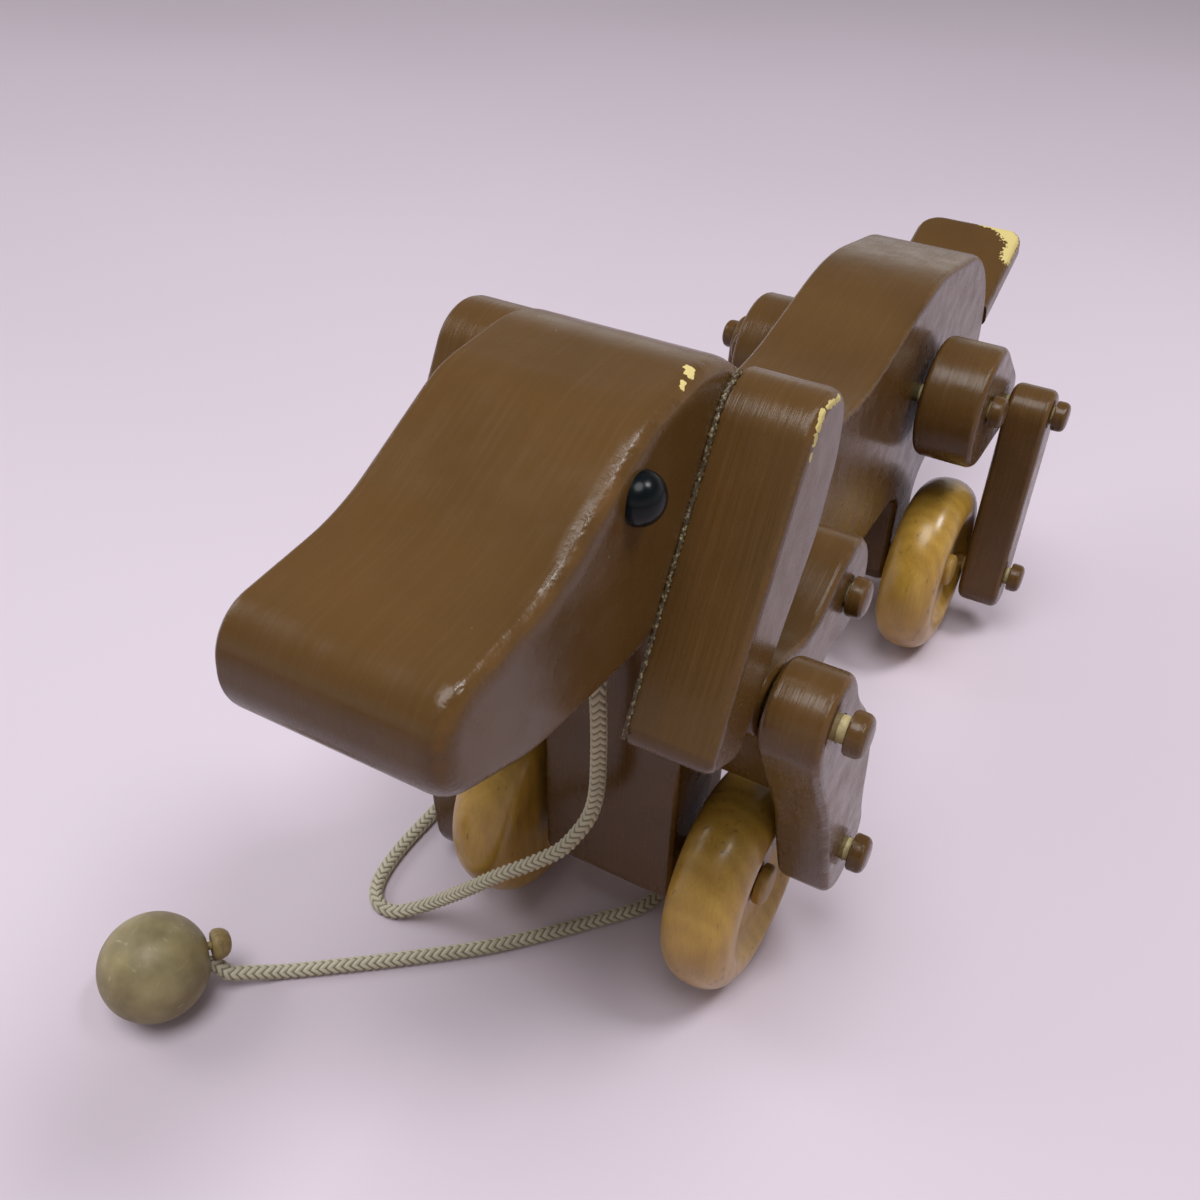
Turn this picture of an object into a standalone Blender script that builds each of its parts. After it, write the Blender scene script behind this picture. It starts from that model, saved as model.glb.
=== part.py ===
"""Wooden dog pull toy: a painted dog on four wheels, whose legs are walked by the wheels.

Lengths are metres. +X is the way the dog faces, +Y is its left and +Z is up. Z = 0 is the floor, and the
origin lies under the middle of the dog. Side outlines are drawn ahead of the front axle and above the floor.
"""

import math
from typing import NamedTuple

import bmesh
import bpy
from mathutils import Matrix, Vector

# Gap between neighbouring pieces.
GAP = 0.0003

# Wheels and axles.
FRONT_AXLE_X = 0.0855
WHEELBASE = 0.1654
WHEEL_RADIUS = 0.03175
WHEEL_THICKNESS = 0.0197
WHEEL_MIDDLE_Y = 0.0322
WHEEL_FACE_Y = WHEEL_MIDDLE_Y + WHEEL_THICKNESS / 2
TREAD_DEPTH = 0.0091
TREAD_SQUARENESS = 2.6
TREAD_ANGLES = (75, 55, 30, 0, -30, -55, -75)
DISH_DEPTH = 0.0036
DISH_FLOOR_RADIUS = 0.0150
DISH_OUTER_RADIUS = 0.0225
CRANK_RADIUS = 0.0172
CRANK_HOLE_DEPTH = 0.0110
CRANK_ANGLES = {
    "front_left": math.radians(131),
    "front_right": math.radians(-80),
    "rear_left": math.radians(200),
    "rear_right": math.radians(200),
}

# Body plank: its chest, belly arch, rear axle block and round rump.
BODY_WIDTH = 0.0390
BODY_ROUND_OVERS = (0.0040, 0.0040)
CHEST_X = 0.0145
CHEST_BOTTOM_Z = 0.0235
NECK_TOP_Z = 0.1350
BELLY_Z = 0.0630
REAR_BLOCK_BOTTOM_Z = 0.0215
RUMP_CENTRE = Vector((-0.1886, 0.0838))
RUMP_RADIUS = 0.0500
RUMP_FALL = math.radians(10.5)
RUMP_X = RUMP_CENTRE.x - RUMP_RADIUS
RUMP_CORNER_Z = RUMP_CENTRE.y + RUMP_RADIUS * (1 - math.sin(RUMP_FALL)) / math.cos(RUMP_FALL)
CROUP_X = -0.1580
CROUP_Z = RUMP_CORNER_Z + (CROUP_X - RUMP_X) * math.tan(RUMP_FALL)

# Side outline of the body as corners (x, z, corner radius).
BODY_CORNERS = [
    (CHEST_X, CHEST_BOTTOM_Z, 0.006),
    (CHEST_X, NECK_TOP_Z, 0.006),
    (-0.0320, NECK_TOP_Z, 0.100),
    (-0.0960, 0.1262, 0.100),
    (CROUP_X, CROUP_Z, 0.080),
    (RUMP_X, RUMP_CORNER_Z, RUMP_RADIUS),
    (RUMP_X, 0.0640, 0.021),
    (-0.1780, 0.0590, 0.010),
    (-0.1775, REAR_BLOCK_BOTTOM_Z, 0.009),
    (-0.1545, REAR_BLOCK_BOTTOM_Z, 0.009),
    (-0.1565, BELLY_Z, 0.010),
    (-0.0170, BELLY_Z, 0.014),
    (-0.0155, CHEST_BOTTOM_Z, 0.006),
]

# Head block, ears and eyes.
HEAD_WIDTH = 0.0458
HEAD_ROUND_OVERS = (0.0050, 0.0050)
HEAD_BACK_X = -0.0170
HEAD_BOTTOM_Z = NECK_TOP_Z + GAP
HEAD_CORNERS = [
    (HEAD_BACK_X, HEAD_BOTTOM_Z, 0.004),
    (0.0500, HEAD_BOTTOM_Z, 0.050),
    (0.0830, 0.1397, 0.050),
    (0.1090, 0.1500, 0.0115),
    (0.1072, 0.1692, 0.0105),
    (0.0750, 0.1717, 0.045),
    (0.0440, 0.1865, 0.028),
    (0.0160, 0.1880, 0.030),
    (HEAD_BACK_X, 0.1650, 0.020),
]
EAR_THICKNESS = 0.0190
EAR_ROUND_OVER = 0.0045
EAR_SEAM_ROUND_OVER = 0.0006
EAR_CORNERS = [
    (0.0146, 0.1837, 0.008),
    (0.0530, 0.1180, 0.005),
    (0.0368, 0.1098, 0.006),
    (0.0050, 0.1486, 0.030),
    (-0.0010, 0.1640, 0.020),
    (-0.0010, 0.1785, 0.008),
]
EYE_RADIUS = 0.0051
EYE_HEIGHT = 0.0046
EYE_PLACES = {"left": (0.0490, 0.1744), "right": (0.0450, 0.1730)}
EYE_ROWS = 4
EYE_FACETS = 16

# Tail board on the rump.
TAIL_WIDTH = 0.0400
TAIL_THICKNESS = 0.0105
TAIL_LENGTH = 0.0444
TAIL_RISE = math.radians(20.5)
TAIL_ROOT_ANGLE = math.radians(164.8)
TAIL_END_ROUND = 0.0042
TAIL_ROUND_OVERS = (0.0030, 0.0030)
TAIL_CORNER_ROUNDS = (0.0085, 0.0060)

# Dowels that hold the head and the tail, driven equally deep into both pieces.
HEAD_DOWEL_RADIUS = 0.0040
HEAD_DOWEL_X = {"front": 0.0070, "rear": -0.0080}
TAIL_DOWEL_RADIUS = 0.0030
DOWEL_DEPTH = 0.0165
DOWEL_HOLE_DEPTH = DOWEL_DEPTH + 2 * GAP


class LegKind(NamedTuple):
    """Sizes that the left and the right leg of a pair share, with the hip ahead of the front axle.

    A shift moves the round end of a bar along it from the pivot there.
    """

    upper_name: str
    shin_name: str
    hip: tuple
    upper_length: float
    shin_length: float
    knee_bend: int
    upper_radii: tuple
    upper_dip: float
    upper_bulge: float
    upper_heel_shift: float
    shin_radii: tuple
    shin_dip: float
    shin_bulge: float
    shin_heel_shift: float
    shin_toe_shift: float
    upper_thickness: float
    shin_inner_y: float
    shin_thickness: float
    hip_proud: float
    knee_proud: float
    foot_proud: float


FRONT_LEG = LegKind(
    upper_name="front_upper_leg",
    shin_name="front_shin",
    hip=(-0.0277, 0.1109),
    upper_length=0.0469,
    shin_length=0.0743,
    knee_bend=1,
    upper_radii=(0.0142, 0.0086),
    upper_dip=0.0061,
    upper_bulge=0.0272,
    upper_heel_shift=0.0,
    shin_radii=(0.0117, 0.0126),
    shin_dip=0.0024,
    shin_bulge=0.0072,
    shin_heel_shift=0.0,
    shin_toe_shift=0.0,
    upper_thickness=0.0195,
    shin_inner_y=0.0426,
    shin_thickness=0.0146,
    hip_proud=0.0005,
    knee_proud=0.0021,
    foot_proud=0.0015,
)
REAR_LEG = LegKind(
    upper_name="rear_thigh",
    shin_name="rear_shin",
    hip=(-0.1585, 0.1000),
    upper_length=0.0305,
    shin_length=0.0640,
    knee_bend=-1,
    upper_radii=(0.0200, 0.0120),
    upper_dip=0.0,
    upper_bulge=0.0,
    upper_heel_shift=0.0041,
    shin_radii=(0.0095, 0.0095),
    shin_dip=0.0,
    shin_bulge=0.0,
    shin_heel_shift=0.0015,
    shin_toe_shift=0.0035,
    upper_thickness=0.0200,
    shin_inner_y=0.0436,
    shin_thickness=0.0146,
    hip_proud=0.0006,
    knee_proud=0.0006,
    foot_proud=0.0012,
)
UPPER_INNER_Y = 0.02235
# A swell peaks at the share of a flank whose power by its lead is a half.
UPPER_BULGE_LEAD = 1.6
SHIN_BULGE_LEAD = 1.0
LEG_ROUND_OVERS = (0.0032, 0.0032)

# Mushroom-headed pegs, with sizes as the shaft's radius, the head's radius and the head's length.
PEG_SHAFT_RADIUS = 0.0031
LEG_PEG_SIZES = (PEG_SHAFT_RADIUS, 0.0051, 0.0046)
AXLE_SHAFT_RADIUS = 0.00325
AXLE_PEG_SIZES = (AXLE_SHAFT_RADIUS, 0.0057, 0.0032)
# Profile of a peg's head, as shares of its radius and of its length.
PEG_HEAD_PROFILE = ((0.62, 0.97), (0.92, 0.78), (1.00, 0.50), (1.00, 0.12), (0.94, 0.00))
BODY_PEG_DEPTH = 0.0160
KNEE_PEG_DEPTH = 0.0150

# Pull cord, the ball on its end, and the round-headed plug that wedges the cord in the ball's bore.
CORD_RADIUS = 0.0019
CORD_STEP = 2.5 * CORD_RADIUS
CORD_HOLE_RADIUS = CORD_RADIUS + 3 * GAP
CORD_HOLE_Z = 0.1060
CORD_HOLE_DEPTH = 0.0130
BALL_RADIUS = 0.0143
BALL_PLACE = Vector((0.0929, -0.0912, BALL_RADIUS))
BALL_ROWS = 14
BALL_BORE_RADIUS = 0.0048
BALL_BORE_FLOOR = 0.0040
BALL_BORE_WAY = Vector((-0.80, 0.58, -0.15)).normalized()
PLUG_SHAFT_RADIUS = 0.0011
PLUG_HEAD_RADIUS = 0.0042
PLUG_START = 0.0050
PLUG_HEAD_REACH = (0.0145, 0.0197)
PLUG_ABOVE_BORE_AXIS = 0.0034
# Profile of the plug's head, as shares of its radius and of its length.
PLUG_HEAD_PROFILE = ((0.60, 0.92), (0.90, 0.66), (1.00, 0.34), (0.97, 0.14), (0.80, 0.00))

# Route of the cord from its hole in the chest to its end in the ball, ahead of the front axle.
CORD_ROUTE = [
    (0.0025, 0.0000, 0.1060),
    (0.0120, 0.0000, 0.1060),
    (0.0195, 0.0004, 0.1056),
    (0.0232, 0.0014, 0.1010),
    (0.0236, 0.0020, 0.0920),
    (0.0232, 0.0020, 0.0800),
    (0.0230, 0.0016, 0.0676),
    (0.0240, 0.0007, 0.0600),
    (0.0260, -0.0013, 0.0543),
    (0.0285, -0.0057, 0.0466),
    (0.0310, -0.0134, 0.0390),
    (0.0330, -0.0217, 0.0317),
    (0.0340, -0.0312, 0.0214),
    (0.0345, -0.0418, 0.0101),
    (0.0370, -0.0491, 0.0045),
    (0.0396, -0.0550, 0.0022),
    (0.0392, -0.0610, 0.0020),
    (0.0330, -0.0655, 0.0020),
    (0.0200, -0.0676, 0.0020),
    (0.0010, -0.0675, 0.0020),
    (-0.0200, -0.0668, 0.0020),
    (-0.0420, -0.0600, 0.0020),
    (-0.0545, -0.0420, 0.0020),
    (-0.0535, -0.0200, 0.0020),
    (-0.0380, -0.0010, 0.0020),
    (-0.0180, 0.0075, 0.0020),
    (-0.0010, 0.0068, 0.0020),
    (0.0118, -0.0025, 0.0020),
    (0.0336, -0.0225, 0.0020),
    (0.0505, -0.0422, 0.0020),
    (0.0662, -0.0622, 0.0020),
    (0.0710, -0.0685, 0.0021),
    (0.0743, -0.0719, 0.0033),
    (0.0785, -0.0762, 0.0050),
    (0.0807, -0.0784, 0.0062),
    (0.0821, -0.0815, 0.0092),
    (0.0841, -0.0840, 0.0106),
    (0.0865, -0.0862, 0.0109),
    (0.0893, -0.0883, 0.0115),
]

SIDES = {"left": 1, "right": -1}
CORNERS = ("front_left", "front_right", "rear_left", "rear_right")
ACROSS = (0, 1, 0)
UP = (0, 0, 1)

# Fineness of round shapes, and how far a drill overshoots the face that it starts from.
ARC_STEP = math.radians(16)
FLANK_SHARES = (0.1, 0.2, 0.3, 0.4, 0.5, 0.6, 0.7, 0.8, 0.9)
TAIL_SEAT_SHARES = (1.0, 0.5, 0.0, -0.5, -1.0)
ROUND_OVER_STEPS = 2
ROUND_PROFILE = 0.5
SHARP_ANGLE = math.radians(40)
MERGE_DISTANCE = 0.00001
PEG_FACETS = 12
WHEEL_FACETS = 24
CURVE_TICKS = 24
OVERSHOOT = 0.0050


def clear_scene():
    """Remove every object of the scene."""
    for item in list(bpy.data.objects):
        bpy.data.objects.remove(item, do_unlink=True)


def finish(name, colour, roughness, metallic=0.0):
    """Make a plain Principled material."""
    material = bpy.data.materials.new(name)
    material.use_nodes = True
    shader = material.node_tree.nodes["Principled BSDF"]
    shader.inputs["Base Color"].default_value = (*colour, 1.0)
    shader.inputs["Roughness"].default_value = roughness
    shader.inputs["Metallic"].default_value = metallic
    return material


def world(x, y, z):
    """Place a point that is measured ahead of the front axle."""
    return Vector((FRONT_AXLE_X + x, y, z))


def place_piece(name, mesh, material, location):
    """Put a mesh into the scene as a named object with its own material, shaded smooth."""
    mesh.materials.append(material)
    mesh.shade_smooth()
    mesh.set_sharp_from_angle(angle=SHARP_ANGLE)
    item = bpy.data.objects.new(name, mesh)
    item.location = location
    bpy.context.scene.collection.objects.link(item)
    return item


def face_out(bm):
    """Make the faces of a closed body point out."""
    bmesh.ops.recalc_face_normals(bm, faces=bm.faces)
    if bm.calc_volume(signed=True) < 0:
        bmesh.ops.reverse_faces(bm, faces=bm.faces)


def rounded(corners):
    """Turn corners (x, z, radius) of a closed outline into points, with an arc at each corner."""
    points = []
    for index, (x, z, radius) in enumerate(corners):
        here = Vector((x, z))
        before = Vector(corners[index - 1][:2]) - here
        after = Vector(corners[(index + 1) % len(corners)][:2]) - here
        before.normalize()
        after.normalize()
        turn = math.pi - before.angle(after)
        reach = radius * math.tan(turn / 2)
        start = here + before * reach
        middle = here + (before + after).normalized() * radius / math.cos(turn / 2)
        spoke = start - middle
        sense = math.copysign(1.0, before.cross(after))
        count = max(1, math.ceil(turn / ARC_STEP))
        for step in range(count + 1):
            angle = -sense * turn * step / count
            points.append(middle + Matrix.Rotation(angle, 2) @ spoke)
    return [(point.x, point.y) for point in points]


def arc(middle, radius, start, end):
    """Points of an arc about a middle on the first axis, from one angle to another."""
    count = max(1, math.ceil(abs(end - start) / ARC_STEP))
    angles = [start + (end - start) * step / count for step in range(count + 1)]
    return [Vector((middle + radius * math.cos(angle), radius * math.sin(angle))) for angle in angles]


def flank(start, end, swell, lead=1.0):
    """Points between two ends of a flank, pushed along the second axis by a swell between them."""
    points = []
    if swell:
        for share in FLANK_SHARES:
            push = swell * math.sin(math.pi * share**lead) ** 2
            points.append(start.lerp(end, share) + Vector((0.0, push)))
    return points


def bar_outline(start, end, start_radius, end_radius, front_dip, rear_bulge, bulge_lead):
    """Outline of a bar with round ends about two points, its front drawn in and its rear swelling out."""
    along = end - start
    length = along.length
    along.normalize()
    across = Vector((-along.y, along.x))
    touch = math.acos((start_radius - end_radius) / length)
    heel = arc(0.0, start_radius, touch, 2 * math.pi - touch)
    toe = arc(length, end_radius, -touch, touch)
    rear = flank(heel[-1], toe[0], -rear_bulge, bulge_lead)
    front = flank(toe[-1], heel[0], -front_dip)
    outline = []
    for point in heel + rear + toe + front:
        place = start + along * point.x + across * point.y
        outline.append((place.x, place.y))
    return outline


def plate(name, outline, thickness, round_overs, material, location):
    """Extrude a side outline across Y and round over its rims, the one at low Y first."""
    bm = bmesh.new()
    rim = [bm.verts.new((x, -thickness / 2, z)) for x, z in outline]
    bmesh.ops.remove_doubles(bm, verts=bm.verts, dist=MERGE_DISTANCE)
    rim = [vert for vert in rim if vert.is_valid]
    face = bm.faces.new(rim)
    extruded = bmesh.ops.extrude_face_region(bm, geom=[face])["geom"]
    moved = [item for item in extruded if isinstance(item, bmesh.types.BMVert)]
    bmesh.ops.translate(bm, verts=moved, vec=(0.0, thickness, 0.0))
    face_out(bm)
    for sign, size in zip((-1, 1), round_overs):
        if not size:
            continue
        rim_edges = [edge for edge in bm.edges if all(vert.co.y * sign > 0 for vert in edge.verts)]
        bmesh.ops.bevel(
            bm, geom=rim_edges, offset=size, segments=ROUND_OVER_STEPS, profile=ROUND_PROFILE, affect="EDGES"
        )
    mesh = bpy.data.meshes.new(name)
    bm.to_mesh(mesh)
    bm.free()
    return place_piece(name, mesh, material, location)


def turned_mesh(name, profile, facets, way, place=Vector((0, 0, 0)), ring=False):
    """Turn a profile of (radius, height) points about an axis that runs the given way through a place."""
    bm = bmesh.new()
    verts = [bm.verts.new((radius, height, 0.0)) for radius, height in profile]
    pairs = list(zip(verts, verts[1:]))
    if ring:
        pairs.append((verts[-1], verts[0]))
    edges = [bm.edges.new(pair) for pair in pairs]
    bmesh.ops.spin(
        bm, geom=verts + edges, cent=(0, 0, 0), axis=ACROSS, angle=2 * math.pi, steps=facets, use_merge=True
    )
    bmesh.ops.remove_doubles(bm, verts=bm.verts, dist=MERGE_DISTANCE)
    face_out(bm)
    turn = Vector(ACROSS).rotation_difference(Vector(way)).to_matrix().to_4x4()
    bm.transform(Matrix.Translation(place) @ turn)
    mesh = bpy.data.meshes.new(name)
    bm.to_mesh(mesh)
    bm.free()
    return mesh


def turned(name, profile, facets, material, location, way=ACROSS, ring=False):
    """Make a turned piece whose axis runs along the given way through its location."""
    return place_piece(name, turned_mesh(name, profile, facets, way, ring=ring), material, location)


def rod(radius, start, end):
    """Profile of a plain rod between two heights."""
    return [(0.0, end), (radius, end), (radius, start), (0.0, start)]


def cut(target, cutter, operation):
    """Cut a piece with another object, which is kept out of the render."""
    cutter.hide_render = True
    cutter.display_type = "WIRE"
    modifier = target.modifiers.new(cutter.name, "BOOLEAN")
    modifier.operation = operation
    modifier.solver = "EXACT"
    modifier.object = cutter


def bore(target, holes):
    """Cut round holes, each (place, way, radius, start, end), out of a piece."""
    name = target.name + "_bores"
    bm = bmesh.new()
    for place, way, radius, start, end in holes:
        drill = turned_mesh(name, rod(radius, start, end), PEG_FACETS, way, place)
        bm.from_mesh(drill)
        bpy.data.meshes.remove(drill)
    mesh = bpy.data.meshes.new(name)
    bm.to_mesh(mesh)
    bm.free()
    cutter = bpy.data.objects.new(name, mesh)
    bpy.context.scene.collection.objects.link(cutter)
    cut(target, cutter, "DIFFERENCE")


def side_of(corner):
    """Sign of Y on the side of the dog that a corner name gives."""
    return SIDES[corner.split("_")[1]]


def leg_of(corner):
    """Sizes of the leg at a corner."""
    return FRONT_LEG if corner.startswith("front") else REAR_LEG


def axle_of(corner):
    """Axle of a wheel, ahead of the front axle and above the floor."""
    return Vector((0.0 if corner.startswith("front") else -WHEELBASE, WHEEL_RADIUS))


def leg_pivots(corner):
    """Hip, knee and foot of a leg, with the foot on its wheel's crank circle."""
    leg = leg_of(corner)
    hip = Vector(leg.hip)
    angle = CRANK_ANGLES[corner]
    foot = axle_of(corner) + CRANK_RADIUS * Vector((math.cos(angle), math.sin(angle)))
    reach = foot - hip
    span = reach.length
    reach.normalize()
    ahead = (leg.upper_length**2 - leg.shin_length**2 + span**2) / (2 * span)
    aside = math.sqrt(leg.upper_length**2 - ahead**2)
    knee = hip + reach * ahead + Vector((-reach.y, reach.x)) * aside * leg.knee_bend
    return hip, knee, foot


def tail_axis():
    """Direction of the tail, and the middle of its root on the rump's curve."""
    way = Vector((-math.cos(TAIL_RISE), 0.0, math.sin(TAIL_RISE)))
    spoke = RUMP_RADIUS * Vector((math.cos(TAIL_ROOT_ANGLE), math.sin(TAIL_ROOT_ANGLE)))
    return way, RUMP_CENTRE + spoke


def make_body(paint):
    """Body plank with the holes for its axle pegs, hip pegs, cord and dowels."""
    body = plate("body", rounded(BODY_CORNERS), BODY_WIDTH, BODY_ROUND_OVERS, paint, world(0, 0, 0))
    tail_way, tail_root = tail_axis()
    holes = []
    for corner in ("front_left", "rear_left"):
        axle = axle_of(corner)
        hip = leg_of(corner).hip
        axle_hole = AXLE_SHAFT_RADIUS + GAP
        hip_hole = PEG_SHAFT_RADIUS + GAP
        holes.append((world(axle.x, 0, axle.y), ACROSS, axle_hole, -BODY_WIDTH, BODY_WIDTH))
        holes.append((world(hip[0], 0, hip[1]), ACROSS, hip_hole, -BODY_WIDTH, BODY_WIDTH))
    for x in HEAD_DOWEL_X.values():
        neck = world(x, 0, NECK_TOP_Z)
        holes.append((neck, UP, HEAD_DOWEL_RADIUS + GAP, -DOWEL_HOLE_DEPTH, OVERSHOOT))
    rump = world(tail_root.x, 0, tail_root.y)
    holes.append((rump, tail_way, TAIL_DOWEL_RADIUS + GAP, -DOWEL_HOLE_DEPTH, OVERSHOOT))
    chest = world(CHEST_X, 0, CORD_HOLE_Z)
    holes.append((chest, (1, 0, 0), CORD_HOLE_RADIUS, -CORD_HOLE_DEPTH, OVERSHOOT))
    bore(body, holes)


def make_head(paint, wood):
    """Head block with its two dowels."""
    head = plate("head", rounded(HEAD_CORNERS), HEAD_WIDTH, HEAD_ROUND_OVERS, paint, world(0, 0, 0))
    holes = []
    for name, x in HEAD_DOWEL_X.items():
        place = world(x, 0, NECK_TOP_Z)
        holes.append((place, UP, HEAD_DOWEL_RADIUS + GAP, -OVERSHOOT, DOWEL_HOLE_DEPTH))
        dowel = rod(HEAD_DOWEL_RADIUS, -DOWEL_DEPTH, DOWEL_DEPTH)
        turned("head_dowel_" + name, dowel, PEG_FACETS, wood, place, UP)
    bore(head, holes)


def make_ears_and_eyes(paint, eye_gloss):
    """Ears on the sides of the head, and a domed eye ahead of each."""
    dome = [(0.0, EYE_HEIGHT)]
    for row in range(1, EYE_ROWS + 1):
        angle = math.pi / 2 * row / EYE_ROWS
        dome.append((EYE_RADIUS * math.sin(angle), EYE_HEIGHT * math.cos(angle)))
    dome.append((0.0, 0.0))
    for side, sign in SIDES.items():
        face = sign * (HEAD_WIDTH / 2 + GAP)
        ear_place = world(0, face + sign * EAR_THICKNESS / 2, 0)
        round_overs = (EAR_SEAM_ROUND_OVER, EAR_ROUND_OVER)[::sign]
        plate("ear_" + side, rounded(EAR_CORNERS), EAR_THICKNESS, round_overs, paint, ear_place)
        eye_x, eye_z = EYE_PLACES[side]
        turned("eye_" + side, dome, EYE_FACETS, eye_gloss, world(eye_x, face, eye_z), (0, sign, 0))


def make_tail(paint, wood):
    """Short tail board with round corners, hollowed at its root to the rump's curve, on a dowel."""
    way, base = tail_axis()
    along = Vector((way.x, way.z))
    up = Vector((along.y, -along.x))
    half = TAIL_THICKNESS / 2
    tip = base + along * TAIL_LENGTH
    board = rounded([
        (*(base - up * half), GAP),
        (*(tip - up * half), TAIL_END_ROUND),
        (*(tip + up * half), TAIL_END_ROUND),
        (*(base + up * half), GAP),
    ])
    end = [point for point in board if (Vector(point) - base).dot(along) > TAIL_LENGTH / 2]
    seat = RUMP_RADIUS + GAP
    hollow = []
    for share in TAIL_SEAT_SHARES:
        lift = (base - RUMP_CENTRE).dot(up) + half * share
        point = RUMP_CENTRE + up * lift + along * math.sqrt(seat**2 - lift**2)
        hollow.append((point.x, point.y))
    tail = plate("tail", end + hollow, TAIL_WIDTH, TAIL_ROUND_OVERS, paint, world(0, 0, 0))
    root = world(base.x, 0, base.y)
    right_round, left_round = TAIL_CORNER_ROUNDS
    edge = TAIL_WIDTH / 2
    plan = rounded([
        (-TAIL_LENGTH, -edge, GAP),
        (TAIL_LENGTH, -edge, right_round),
        (TAIL_LENGTH, edge, left_round),
        (-TAIL_LENGTH, edge, GAP),
    ])
    corners = plate("tail_corners", plan, 2 * TAIL_LENGTH, (0.0, 0.0), paint, root)
    corners.data.transform(Matrix((way, (way.z, 0.0, -way.x), ACROSS)).transposed().to_4x4())
    cut(tail, corners, "INTERSECT")
    bore(tail, [(root, way, TAIL_DOWEL_RADIUS + GAP, -OVERSHOOT, DOWEL_HOLE_DEPTH)])
    dowel = rod(TAIL_DOWEL_RADIUS, -DOWEL_DEPTH, DOWEL_DEPTH)
    turned("tail_dowel", dowel, PEG_FACETS, wood, root, way)


def tread_point(angle):
    """Point (radius, height) of the wheel's full-round tread."""
    across = math.copysign(abs(math.sin(angle)) ** (2 / TREAD_SQUARENESS), math.sin(angle))
    out = abs(math.cos(angle)) ** (2 / TREAD_SQUARENESS)
    return WHEEL_RADIUS - TREAD_DEPTH + TREAD_DEPTH * out, WHEEL_THICKNESS / 2 * across


def make_wheels(varnish):
    """Turned wheels with a full-round tread, a dished outer face and a hole for the crank peg."""
    bore_radius = AXLE_SHAFT_RADIUS + GAP
    half = WHEEL_THICKNESS / 2
    profile = [
        (bore_radius, half - DISH_DEPTH),
        (DISH_FLOOR_RADIUS, half - DISH_DEPTH),
        (DISH_OUTER_RADIUS, half),
    ]
    profile += [tread_point(math.radians(angle)) for angle in TREAD_ANGLES]
    profile += [(WHEEL_RADIUS - TREAD_DEPTH, -half), (bore_radius, -half)]
    for corner in CORNERS:
        sign = side_of(corner)
        axle = axle_of(corner)
        place = world(axle.x, sign * WHEEL_MIDDLE_Y, axle.y)
        wheel = turned("wheel_" + corner, profile, WHEEL_FACETS, varnish, place, (0, sign, 0), ring=True)
        foot = leg_pivots(corner)[2]
        mouth = world(foot.x, sign * WHEEL_FACE_Y, foot.y)
        bore(wheel, [(mouth, (0, sign, 0), PEG_SHAFT_RADIUS + GAP, -CRANK_HOLE_DEPTH, OVERSHOOT)])


def make_peg(name, sizes, depth, material, place, sign):
    """Peg with a mushroom head: the head stands out from its place and the shaft goes in."""
    radius, head_radius, head_length = sizes
    profile = [(0.0, head_length)]
    profile += [(head_radius * out, head_length * tall) for out, tall in PEG_HEAD_PROFILE]
    profile += [(radius, 0.0), (radius, -depth), (0.0, -depth)]
    turned(name, profile, PEG_FACETS, material, place, (0, sign, 0))


def make_axle_pegs(wood):
    """Pegs on which the wheels turn, glued into the body."""
    face = WHEEL_FACE_Y - DISH_DEPTH + 2 * GAP
    depth = face - BODY_WIDTH / 2 + BODY_PEG_DEPTH
    for corner in CORNERS:
        sign = side_of(corner)
        axle = axle_of(corner)
        place = world(axle.x, sign * face, axle.y)
        make_peg("axle_peg_" + corner, AXLE_PEG_SIZES, depth, wood, place, sign)


def make_legs(paint):
    """Upper legs and shins, each leg bent so that its foot lies on its wheel's crank circle."""
    hole = PEG_SHAFT_RADIUS + GAP
    for corner in CORNERS:
        leg = leg_of(corner)
        sign = side_of(corner)
        side = corner.split("_")[1]
        hip, knee, foot = leg_pivots(corner)
        out = (0, sign, 0)
        thick = leg.upper_thickness
        upper_y = sign * (UPPER_INNER_Y + thick / 2)
        swells = (leg.upper_dip, leg.upper_bulge, UPPER_BULGE_LEAD)
        along = (knee - hip).normalized()
        outline = bar_outline(along * leg.upper_heel_shift, knee - hip, *leg.upper_radii, *swells)
        place = world(hip.x, upper_y, hip.y)
        upper = plate(f"{leg.upper_name}_{side}", outline, thick, LEG_ROUND_OVERS, paint, place)
        knee_hole_floor = thick / 2 - KNEE_PEG_DEPTH - 2 * GAP
        knee_place = world(knee.x, upper_y, knee.y)
        bore(upper, [(place, out, hole, -thick, thick), (knee_place, out, hole, knee_hole_floor, thick)])

        thick = leg.shin_thickness
        shin_y = sign * (leg.shin_inner_y + thick / 2)
        swells = (leg.shin_dip, leg.shin_bulge, SHIN_BULGE_LEAD)
        along = (foot - knee).normalized()
        toe = foot - knee + along * leg.shin_toe_shift
        outline = bar_outline(along * leg.shin_heel_shift, toe, *leg.shin_radii, *swells)
        place = world(knee.x, shin_y, knee.y)
        shin = plate(f"{leg.shin_name}_{side}", outline, thick, LEG_ROUND_OVERS, paint, place)
        foot_place = world(foot.x, shin_y, foot.y)
        bore(shin, [(place, out, hole, -thick, thick), (foot_place, out, hole, -thick, thick)])
        make_leg_pegs(corner, paint)


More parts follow.
